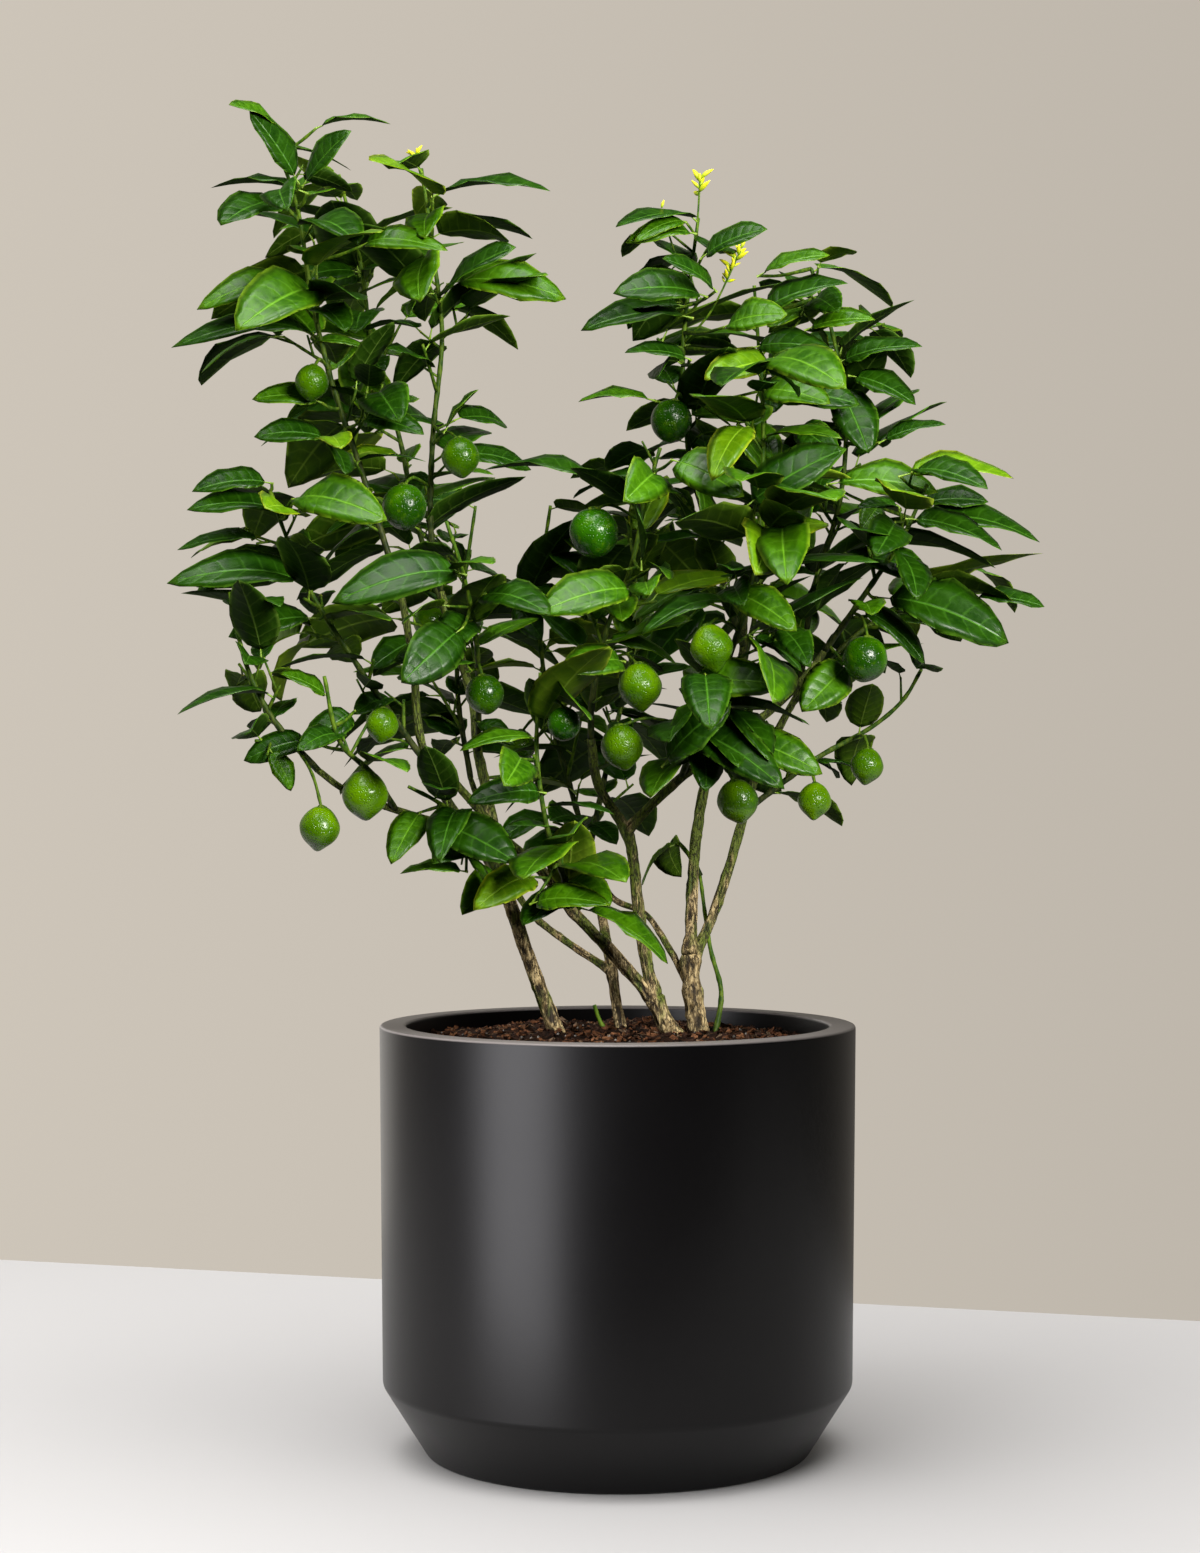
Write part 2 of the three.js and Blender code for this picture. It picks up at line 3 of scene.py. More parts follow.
import bpy
import numpy as np
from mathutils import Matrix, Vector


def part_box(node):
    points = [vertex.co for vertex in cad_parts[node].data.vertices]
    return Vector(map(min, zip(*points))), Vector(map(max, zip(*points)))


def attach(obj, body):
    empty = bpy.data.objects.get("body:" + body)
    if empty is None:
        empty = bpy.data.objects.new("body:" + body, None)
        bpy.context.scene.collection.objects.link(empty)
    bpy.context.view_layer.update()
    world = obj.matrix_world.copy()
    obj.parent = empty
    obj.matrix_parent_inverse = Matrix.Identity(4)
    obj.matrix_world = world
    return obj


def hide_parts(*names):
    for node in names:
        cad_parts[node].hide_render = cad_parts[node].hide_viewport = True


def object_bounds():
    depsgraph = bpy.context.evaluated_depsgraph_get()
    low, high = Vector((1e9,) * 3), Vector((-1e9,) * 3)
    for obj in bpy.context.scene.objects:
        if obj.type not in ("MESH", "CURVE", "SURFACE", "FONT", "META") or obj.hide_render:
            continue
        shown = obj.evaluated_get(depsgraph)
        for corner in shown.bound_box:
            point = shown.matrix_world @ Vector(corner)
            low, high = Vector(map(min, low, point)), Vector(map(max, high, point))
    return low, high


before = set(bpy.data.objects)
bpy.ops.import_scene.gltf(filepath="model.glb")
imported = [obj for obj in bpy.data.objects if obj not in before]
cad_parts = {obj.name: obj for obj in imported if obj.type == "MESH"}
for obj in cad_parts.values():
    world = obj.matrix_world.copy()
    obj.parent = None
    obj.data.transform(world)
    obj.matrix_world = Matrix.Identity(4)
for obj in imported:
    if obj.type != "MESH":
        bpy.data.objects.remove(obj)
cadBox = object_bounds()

# Potted key lime tree. Blender works in metres; the growing rule below works in millimetres, as the
# solids do, and its results are scaled once, when a mesh is made.
metre = 0.001

# Camera: level, 1.8 m in front of the pot's axis, at the height that the pot's ellipses give.
view = {"place": (-0.01125, -1.8, 0.422), "pitch": 0.276, "lens": 64.9}


def makeCamera():
    camera = bpy.data.objects.new("camera", bpy.data.cameras.new("camera"))
    camera.data.lens = view["lens"]
    camera.location = view["place"]
    camera.rotation_euler = (math.radians(90 + view["pitch"]), 0, 0)
    bpy.context.scene.collection.objects.link(camera)
    bpy.context.scene.camera = camera


makeCamera()
print("camera placed")


# A method that adds a Math node, its values swapped in the reflected form of an operator.
def operator(operation, swapped=False):
    def apply(self, *other):
        values = (self, *other)
        return self.math(operation, *(values[::-1] if swapped else values))
    return apply


class Wire:
    # An output socket. Arithmetic on it adds Math nodes, and node() adds any other node.
    def __init__(self, tree, socket=None):
        self.tree = tree
        self.socket = socket

    __add__, __radd__ = operator("ADD"), operator("ADD", True)
    __sub__, __rsub__ = operator("SUBTRACT"), operator("SUBTRACT", True)
    __mul__, __rmul__ = operator("MULTIPLY"), operator("MULTIPLY", True)
    __truediv__, __abs__ = operator("DIVIDE"), operator("ABSOLUTE")

    # Adds a node: its settings first, then the values or wires of its inputs. Gives one output.
    def node(self, kind, settings=None, inputs=None, output=0):
        made = self.tree.nodes.new(kind)
        for name, value in (settings or {}).items():
            setattr(made, name, value)
        for key, value in (inputs or {}).items():
            if isinstance(value, Wire):
                self.tree.links.new(value.socket, made.inputs[key])
            elif hasattr(value, "__len__") and len(made.inputs[key].default_value) == 4:
                made.inputs[key].default_value = (*value[:3], 1)
            else:
                made.inputs[key].default_value = value
        return Wire(self.tree, made.outputs[output])

    def out(self, name):
        return Wire(self.tree, self.socket.node.outputs[name])

    def math(self, operation, *values):
        return self.node("ShaderNodeMath", {"operation": operation}, dict(enumerate(values)))

    # 0 below low, 1 above high, smooth between.
    def between(self, low, high):
        inputs = {0: self, 1: low, 2: high, 3: 0.0, 4: 1.0}
        return self.node("ShaderNodeMapRange", {"interpolation_type": "SMOOTHSTEP"}, inputs)

    # A colour that goes from first to second as this wire goes from 0 to 1.
    def colour(self, first, second):
        return self.node("ShaderNodeMix", {"data_type": "RGBA"}, {0: self, 6: first, 7: second}, 2)

    def noise(self, place, scale, detail=2.0, roughness=0.5):
        inputs = {"Vector": place, "Scale": scale, "Detail": detail, "Roughness": roughness}
        return self.node("ShaderNodeTexNoise", {}, inputs)

    def bump(self, height, strength, distance):
        return self.node("ShaderNodeBump", {}, {"Height": height, "Strength": strength, "Distance": distance})

    # Object coordinates, with the height squeezed if asked.
    def place(self, squeeze=1):
        place = self.node("ShaderNodeTexCoord", output="Object")
        if squeeze == 1:
            return place
        return self.node("ShaderNodeMapping", {}, {"Vector": place, "Scale": (1.0, 1.0, squeeze)})

    # A value that the mesh holds for each point.
    def held(self, name):
        return self.node("ShaderNodeAttribute", {"attribute_name": name}, output="Fac")


# A material whose shader takes plain values by socket name, and a bare wire to start its nodes from.
def newMaterial(name, **values):
    material = bpy.data.materials.new(name)
    material.use_nodes = True
    shader = material.node_tree.nodes["Principled BSDF"]
    for socket, value in values.items():
        shader.inputs[socket.replace("_", " ")].default_value = value
    return material, shader, Wire(material.node_tree)


def feed(shader, **wires):
    for socket, wire in wires.items():
        wire.tree.links.new(wire.socket, shader.inputs[socket.replace("_", " ")])


# A mesh object from a surface, a dictionary in mm: points, quads, triangles, a slot for each face, a UV
# place for each corner, and under any other key a value for each point.
def makeObject(name, surface, materials, smooth=True):
    faces = [surface[key] for key in ("quads", "triangles") if key in surface]
    corners = np.concatenate([part.ravel() for part in faces]).astype(np.int32)
    sizes = np.concatenate([np.full(len(part), part.shape[1]) for part in faces])
    mesh = bpy.data.meshes.new(name)
    mesh.vertices.add(len(surface["points"]))
    mesh.vertices.foreach_set("co", np.asarray(surface["points"] * metre, np.float32).ravel())
    mesh.loops.add(len(corners))
    mesh.loops.foreach_set("vertex_index", corners)
    mesh.polygons.add(len(sizes))
    mesh.polygons.foreach_set("loop_start", (np.cumsum(sizes) - sizes).astype(np.int32))
    mesh.polygons.foreach_set("use_smooth", np.full(len(sizes), smooth))
    for material in materials:
        mesh.materials.append(material)
    if "slots" in surface:
        mesh.polygons.foreach_set("material_index", surface["slots"].astype(np.int32))
    if "uv" in surface:
        layer = mesh.uv_layers.new(name="OFBake")
        layer.data.foreach_set("uv", surface["uv"].astype(np.float32).ravel())
    for key, values in surface.items():
        if key not in ("points", "quads", "triangles", "slots", "uv"):
            attribute = mesh.attributes.new(key, "FLOAT", "POINT")
            attribute.data.foreach_set("value", values.astype(np.float32))
    mesh.update(calc_edges=True)
    made = bpy.data.objects.new(name, mesh)
    bpy.context.scene.collection.objects.link(made)
    return made


# A piece of the part, with its material slot and the solids that it stands for.
def addPiece(name, surface, materials, slot, nodes=(), smooth=True):
    piece = makeObject(name, surface, materials, smooth)
    if nodes:
        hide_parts(*nodes)
    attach(piece, "root")
    pieceSlots[name] = slot


pieceSlots = {}


# Joins surfaces into one.
def joined(surfaces):
    starts = np.cumsum([0] + [len(surface["points"]) for surface in surfaces])
    whole = {}
    for key in surfaces[0]:
        shifts = starts if key in ("quads", "triangles") else 0 * starts
        whole[key] = np.concatenate([surface[key] + shift for surface, shift in zip(surfaces, shifts)])
    return whole


# Faces of a grid of rows and columns of points, closed round the columns if asked.
def gridQuads(rows, columns, closed=False):
    row = np.arange(rows - 1)[:, None]
    column = np.arange(columns if closed else columns - 1)[None, :]
    following = (column + 1) % columns
    quads = np.stack([row * columns + column, row * columns + following,
                      (row + 1) * columns + following, (row + 1) * columns + column], -1)
    return quads.reshape(-1, 4)


# Faces of rings of points, closed by a fan from one more point at each end.
def ringFaces(rings, sides, flipped=False):
    total = rings * sides
    last = total - sides
    ring = np.arange(sides)
    following = (ring + 1) % sides
    caps = np.concatenate([np.stack([np.full(sides, total), following, ring], 1),
                           np.stack([np.full(sides, total + 1), last + ring, last + following], 1)])
    quads = gridQuads(rings, sides, True)
    if flipped:
        quads, caps = quads[:, ::-1], caps[:, [0, 2, 1]]
    return {"quads": quads, "triangles": caps}


def ringAngles(sides):
    return 2 * math.pi * np.arange(sides) / sides


# One more copy of each face list for each of many like things.
def repeated(faces, count, size):
    return (faces[None] + size * np.arange(count)[:, None, None]).reshape(-1, faces.shape[1])


# Smooth noise from 0 to 1 at each point: random values on a unit lattice, blended between corners.
def latticeNoise(points, seed):
    cell = np.floor(points).astype(np.int64)
    part = points - cell
    part = part * part * (3 - 2 * part)
    total = 0
    for corner in np.ndindex(2, 2, 2):
        key = ((cell + corner) * np.array([374761393, 668265263, 2147483629])).sum(-1) + seed * 974634777
        key = (key ^ (key >> 13)) * 1274126177 & 0xFFFFFFFF
        value = ((key ^ (key >> 16)) & 0xFFFF) / 65535
        weight = np.where(corner, part, 1 - part).prod(-1)
        total = total + value * weight
    return total


# Two unit vectors square to each direction along a path, turning as little as they can.
def ringFrames(points):
    along = np.gradient(points, axis=0)
    along /= np.linalg.norm(along, axis=1, keepdims=True)
    chord = points[-1] - points[0]
    chord /= np.linalg.norm(chord)
    guide = np.eye(3)[np.argmin(np.abs(chord))]
    side = guide - along * (along @ guide)[:, None]
    side /= np.linalg.norm(side, axis=1, keepdims=True)
    return side, np.cross(along, side)


# One value for each ring of a closed surface, as values for its points.
def ringValues(values, sides):
    return np.concatenate([np.repeat(values, sides), [values[0], values[-1]]])


# A closed tube: rings of a radius along a path, each corner pushed out by its relief, capped by fans.
def tubeSurface(points, radius, sides, relief=0):
    side, other = ringFrames(points)
    angle = ringAngles(sides)
    outward = np.cos(angle)[None, :, None] * side[:, None] + np.sin(angle)[None, :, None] * other[:, None]
    reach = np.broadcast_to(np.asarray(radius), len(points))[:, None] + relief
    rings = points[:, None] + outward * np.broadcast_to(reach, outward.shape[:2])[..., None]
    return {"points": np.concatenate([rings.reshape(-1, 3), points[:1], points[-1:]]),
            **ringFaces(len(points), sides)}


# The growing rule, as in the solids: sizes in mm, angles in degrees, places and sizes as shares.
pot = {"height": 272, "rimRadius": 152.5, "waistRadius": 150.3, "bevelHeight": 44, "footRadius": 122.5,
       "innerRadius": 135.6, "innerWaistRadius": 133, "innerWaistHeight": 50, "innerFloorRadius": 112,
       "floor": 18}
soil = {"level": 266, "plateauRadius": 80, "edgeLevel": 260}
ground = 266.3
pathPieces = 24
rooms = {"leaf": 9, "limb": 4.5, "neighbour": 3, "fruit": 3, "pot": 6}


# Dictionaries from rows, all with the same keys.
def named(keys, rows):
    return [dict(zip(keys.split(), row)) for row in rows]


# Limbs: what each grows on and at which share of it, its radius at foot and tip, its flare and its points,
# of which a stem's first lies on the ground.
limbKeys = "name on at radius flare points"
stems = named(limbKeys, [
    ["stem_left", None, 0, [4.9, 3.9], 1.6, [[-39, -10], [-53, -12, 304], [-64, -15, 336], [-75, -20, 368]]],
    ["stem_back", None, 0, [3.6, 2.7], 1.2, [[2, 12], [-4, 22, 305], [-9, 42, 334], [-13, 62, 362]]],
    ["stem_middle", None, 0, [5.2, 4.6], 1.4, [[36, -14], [30, -13, 275], [23, -11, 290]]],
    ["stem_right", None, 0, [5.7, 5.3], 1.8, [[52, -3], [48, -2, 292], [47, 0, 316]]],
    ["stem_shoot", None, 0, [1.7, 1.1], 0.5, [[63, 2], [67, 8, 292], [60, 18, 321], [54, 26, 366]]],
    ["stem_stub", None, 0, [1.5, 1.1], 0.3, [[-7, -2], [-11, -2, 273], [-15, -2, 284]]],
])
boughs = named(limbKeys, [
    ["bough_left_outer", "stem_left", 1, [3.3, 2.1], 0,
     [[-111, -35, 421], [-125, -46, 461], [-128, -48, 502], [-137, -44, 548]]],
    ["bough_left_inner", "stem_left", 0.93, [3.6, 2.4], 0,
     [[-84, -8, 421], [-90, -4, 450], [-94, 2, 482], [-114, 10, 550]]],
    ["bough_left_low", "bough_left_outer", 0.18, [2.5, 1.9], 0,
     [[-136, -62, 409], [-166, -78, 421], [-184, -84, 434]]],
    ["bough_back_left", "stem_back", 0.42, [2.4, 1.8], 0,
     [[-38, 36, 326], [-61, 52, 346], [-80, 84, 380], [-100, 118, 430]]],
    ["bough_middle_left", "stem_middle", 0.9, [4.2, 2.3], 0,
     [[-6, -14, 321], [-30, -17, 346], [-50, -26, 373], [-68, -36, 388], [-104, -66, 430]]],
    ["bough_middle_right", "stem_middle", 1, [4.1, 2.6], 0,
     [[17, -12, 320], [12, -16, 356], [7, -24, 393], [-12, -36, 424], [-17, -46, 454]]],
    ["bough_crossing", "bough_middle_right", 0.62, [3, 2.1], 0,
     [[33, -42, 424], [70, -56, 454], [94, -62, 471], [117, -62, 493], [128, -60, 508]]],
    ["bough_right_upright", "stem_right", 1, [4, 2.1], 0,
     [[48, 8, 352], [51, 16, 390], [57, 28, 424], [69, 42, 462], [82, 54, 505], [85, 60, 540]]],
    ["bough_right_outer", "stem_right", 0.9, [3.5, 2.1], 0,
     [[64, 8, 347], [80, 6, 400], [91, 8, 436], [103, 12, 459], [118, 16, 486]]],
    ["bough_back_middle", "stem_right", 0.6, [2.2, 1.7], 0,
     [[29, 16, 327], [17, 30, 342], [-4, 48, 352], [-18, 76, 384]]],
])

# Masses: a leader that grows on a bough at a share of it, the seed of its draws, how long its side twigs
# are, the gap between its leaves and their size, its points, and its limes: x, y, z, radius, ripeness.
masses = named("name on at seed twig gap size points limes", [
    ["left_outer_top", "bough_left_outer", 1, 1199, 44, 18, 1,
     [[-160, -48, 620], [-180, -48, 680], [-193, -44, 735], [-202, -40, 790], [-222, -36, 846]],
     [[-189, -74, 674, 10.5, 0.45]]],
    ["left_middle_top", "bough_left_inner", 0.72, 1479, 42, 25, 1,
     [[-130, 50, 590], [-146, 74, 660], [-164, 80, 720], [-172, 78, 776], [-186, 72, 834]], []],
    ["left_inner_top", "bough_left_inner", 1, 865, 54, 16, 1,
     [[-120, -4, 590], [-118, -12, 650], [-112, -16, 710], [-117, -18, 760], [-125, -18, 818]],
     [[-99, -40, 632, 12, 0.5], [-134, -44, 600, 14, 0.1]]],
    ["left_outer_mid", "bough_left_outer", 0.4, 803, 40, 12, 1,
     [[-162, -66, 500], [-190, -68, 544], [-206, -66, 580], [-216, -62, 608]], []],
    ["left_far_low", "bough_left_low", 1, 912, 24, 11, 0.76,
     [[-208, -96, 462], [-222, -102, 488], [-230, -104, 514], [-236, -102, 542]],
     [[-181, -104, 400, 12.4, 0.9]]],
    ["left_low_front", "bough_left_low", 0.5, 943, 26, 11, 0.8,
     [[-150, -96, 432], [-168, -120, 452], [-176, -128, 490]],
     [[-153, -112, 420, 14, 0.6], [-143, -106, 462, 10, 0.6]]],
    ["left_inner_mid", "bough_left_inner", 0.45, 823, 36, 14, 1,
     [[-88, -34, 486], [-88, -72, 516], [-94, -100, 552], [-104, -112, 584]], [[-83, -58, 482, 12, 0.2]]],
    ["left_low_mid", "stem_left", 0.86, 432, 28, 11, 1,
     [[-90, -58, 396], [-110, -82, 414], [-128, -94, 424]], []],
    ["left_back", "bough_back_left", 1, 1413, 46, 27, 1,
     [[-110, 138, 490], [-108, 152, 550], [-98, 150, 620]], [[-130, 156, 540, 12, 0.5]]],
    ["middle_low", "bough_middle_left", 0.4, 529, 32, 14, 1,
     [[-34, -56, 368], [-44, -84, 400], [-50, -90, 446], [-48, -80, 494]], [[-33, -110, 462, 10, 0.0]]],
    ["middle_deep", "stem_back", 1, 969, 40, 24, 1,
     [[-30, 70, 420], [-46, 74, 480], [-52, 66, 550], [-44, 50, 610]], [[-66, 98, 452, 11, 0.4]]],
    ["middle_front", "bough_middle_right", 1, 896, 40, 15, 1,
     [[-16, -52, 480], [-8, -58, 520], [8, -66, 560], [16, -68, 598], [26, -66, 634]],
     [[13, -96, 486, 13.5, 0.85], [-15, -84, 580, 15, 0.0]]],
    ["middle_back", "bough_back_middle", 1, 905, 46, 29, 1,
     [[-6, 110, 440], [10, 132, 510], [22, 134, 580], [26, 116, 650]], [[20, 158, 520, 13, 0.6]]],
    ["front_right", "bough_crossing", 0.3, 1048, 40, 17, 1,
     [[52, -84, 466], [68, -106, 505], [82, -108, 555], [88, -96, 620], [88, -82, 684]],
     [[2, -98, 449, 13, 0.55], [55, -132, 508, 13, 1.0], [73, -84, 416, 12.8, 0.6]]],
    ["right_left_top", "bough_right_upright", 0.9, 912, 44, 16, 1,
     [[62, 24, 580], [46, 6, 640], [42, 0, 700], [46, 0, 745], [52, 0, 790]], [[34, -28, 656, 13.2, 0.1]]],
    ["right_outer_top", "bough_right_outer", 1, 515, 44, 14, 1,
     [[126, 4, 550], [142, -6, 605], [146, -10, 660], [138, -10, 712], [124, -8, 756]], []],
    ["right_outer_mid", "bough_crossing", 1, 963, 40, 12, 1,
     [[150, -76, 540], [174, -80, 576], [190, -78, 610]], [[150, -98, 502, 13.6, 0.1]]],
    ["right_far", "bough_right_outer", 0.95, 523, 36, 12, 1,
     [[150, 28, 518], [182, 32, 540], [208, 26, 552], [230, 18, 566]], []],
    ["right_low", "bough_right_outer", 0.55, 1281, 20, 22, 0.8,
     [[126, 4, 441], [163, 4, 462], [184, 4, 480], [196, 4, 500]],
     [[158, -26, 438, 10.6, 0.8], [125, -22, 416, 10.8, 0.9]]],
    ["right_back", "bough_right_upright", 0.5, 1660, 46, 27, 1,
     [[78, 84, 480], [96, 104, 550], [104, 102, 620], [98, 88, 690], [92, 74, 760]],
     [[128, 128, 540, 12, 0.5]]],
    ["shoot_leaves", "stem_shoot", 1, 1316, 16, 12, 0.7,
     [[48, 30, 378], [40, 34, 388]], []],
])

leafSize = {"shortest": 52, "longest": 80, "width": 0.52, "arch": [0.2, 0.6], "fold": [0.15, 0.45]}
goldenTurn = 137.5
sideTwigs = {"gaps": 2, "first": 22, "last": 0.97, "loose": 0.5, "seedTurn": 31, "turnSpread": 40, "rise": 40,
             "riseSpread": 16, "taper": [1.1, 0.6], "lengths": [0.75, 1.15], "tested": [0.5, 0.75, 1]}
twigLeaves = {"places": [0.4, 0.7], "turn": 90, "turnSpread": 50, "rise": 32, "size": 0.92}
twigEnd = {"place": 0.98, "turn": 90, "rise": 78, "size": 1}
leaderLeaves = {"first": 14, "last": 0.96, "loose": 0.4, "seedTurn": 57, "turnSpread": 30, "rise": 32,
                "sizes": [1.05, 0.8]}
leaderEnd = {"place": 0.99, "seedTurn": 13, "rise": 36, "size": 0.8}
leafHang = {"level": 0.62, "roll": 42}
attempts = {"all": 7, "fullSize": 4, "shrink": 0.76, "turn": 83}
leaderRadius = [2.1, 1.1]
twigRadius = [1.35, 0.95]
flareLength = 12
footReach = 0.3


def mix(first, last, share):
    return first + (last - first) * share


# Park and Miller's generator: the same seed always gives the same plant.
class Seeded:
    def __init__(self, seed):
        self.state = seed * 7919 + 17

    def __call__(self):
        self.state = self.state * 48271 % 2147483647
        return self.state / 2147483647


# A uniform Catmull-Rom curve through a few points, its ends extended straight, kept as a polyline.
class Path:
    def __init__(self, points, pieces=pathPieces):
        knots = np.asarray(points, float)
        ends = np.concatenate([[2 * knots[0] - knots[1]], knots, [2 * knots[-1] - knots[-2]]])
        place = (len(knots) - 1) * np.arange(pieces + 1) / pieces
        span = np.minimum(place.astype(int), len(knots) - 2)
        part = (place - span)[:, None]
        before, start, end, after = (ends[span + k] for k in range(4))
        leave, arrive = 0.5 * (end - before), 0.5 * (after - start)
        self.points = (start + leave * part + (-3 * start + 3 * end - 2 * leave - arrive) * part ** 2
                       + (2 * start - 2 * end + leave + arrive) * part ** 3)
        steps = np.linalg.norm(np.diff(self.points, axis=0), axis=1)
        self.reached = np.concatenate([[0], np.cumsum(steps)])
        self.length = self.reached[-1]

    def at(self, share):
        goal = share * self.length
        piece = int(np.searchsorted(self.reached[1:-1], goal))
        span = self.reached[piece + 1] - self.reached[piece]
        step = self.points[piece + 1] - self.points[piece]
        return self.points[piece] + step * ((goal - self.reached[piece]) / span), step / span

    # Points at many shares at once, on the smooth polyline.
    def spread(self, shares):
        goal = np.asarray(shares) * self.length
        return np.stack([np.interp(goal, self.reached, self.points[:, k]) for k in range(3)], 1)


def squareTo(direction):
    guide = np.array([1.0, 0, 0]) if abs(direction[2]) > 0.5 else np.array([0, 0, 1.0])
    first = guide - direction * (guide @ direction)
    first /= np.linalg.norm(first)
    return first, np.cross(direction, first)


def turned(first, second, angle):
    return first * math.cos(angle) + second * math.sin(angle)


# A direction that leaves a line at an angle about it and rises along it.
def leaving(along, angle, rise):
    return turned(*squareTo(along), angle) * math.cos(rise) + along * math.sin(rise)


# A limb's radius at some shares of its length, with the flare at its foot.
def limbRadius(limb, shares):
    return mix(*limb["radius"], shares) + limb["flare"] * np.exp(-shares * limb["path"].length / flareLength)


def growLimbs():
    limbs = {}
    for limb in stems + boughs:
        places = [np.array([*point, ground][:3], float) for point in limb["points"]]
        if limb["on"]:
            places.insert(0, limbs[limb["on"]]["path"].at(limb["at"])[0])
        else:
            places.insert(0, places[0] - footReach * (places[1] - places[0]))
        grown = {**limb, "path": Path(places)}
        grown["sampleRadius"] = limbRadius(grown, np.arange(pathPieces + 1) / pathPieces)
        limbs[limb["name"]] = grown
    return limbs


# A leaf: its middle line arches, and its two halves fold up from it.
def shapeLeaf(base, direction, roll, length, arch, fold):
    up = np.array([0, 0, 1.0]) - direction * direction[2]
    up /= np.linalg.norm(up)
    normal = up * math.cos(roll) + np.cross(direction, up) * math.sin(roll)
    return {"base": base, "direction": direction, "normal": normal, "across": np.cross(direction, normal),
            "length": length, "arch": arch, "fold": fold, "grown": 1, "tint": -1}


# The points that a leaf is tested at: its middle line, its tip and its edges, as along, side and reach.
tested = np.array([[0.35, 0, 0], [0.6, 0, 0], [0.82, 0, 0], [1, 0, 0], [0.3, 1, 0.95], [0.5, 1, 1],
                   [0.68, 1, 0.9], [0.3, -1, 0.95], [0.5, -1, 1], [0.68, -1, 0.9]])


def leafSamples(leaf):
    along, side, reach = tested.T[:, :, None]
    half = reach * leaf["length"] * leafSize["width"] / 2
    bend = leaf["direction"] * along - leaf["normal"] * leaf["arch"] * along ** 2
    middle = leaf["base"] + leaf["length"] * bend
    return middle + leaf["across"] * side * half + leaf["normal"] * leaf["fold"] * half


def distances(points, others):
    return np.linalg.norm(points[:, None] - others[None], axis=2)


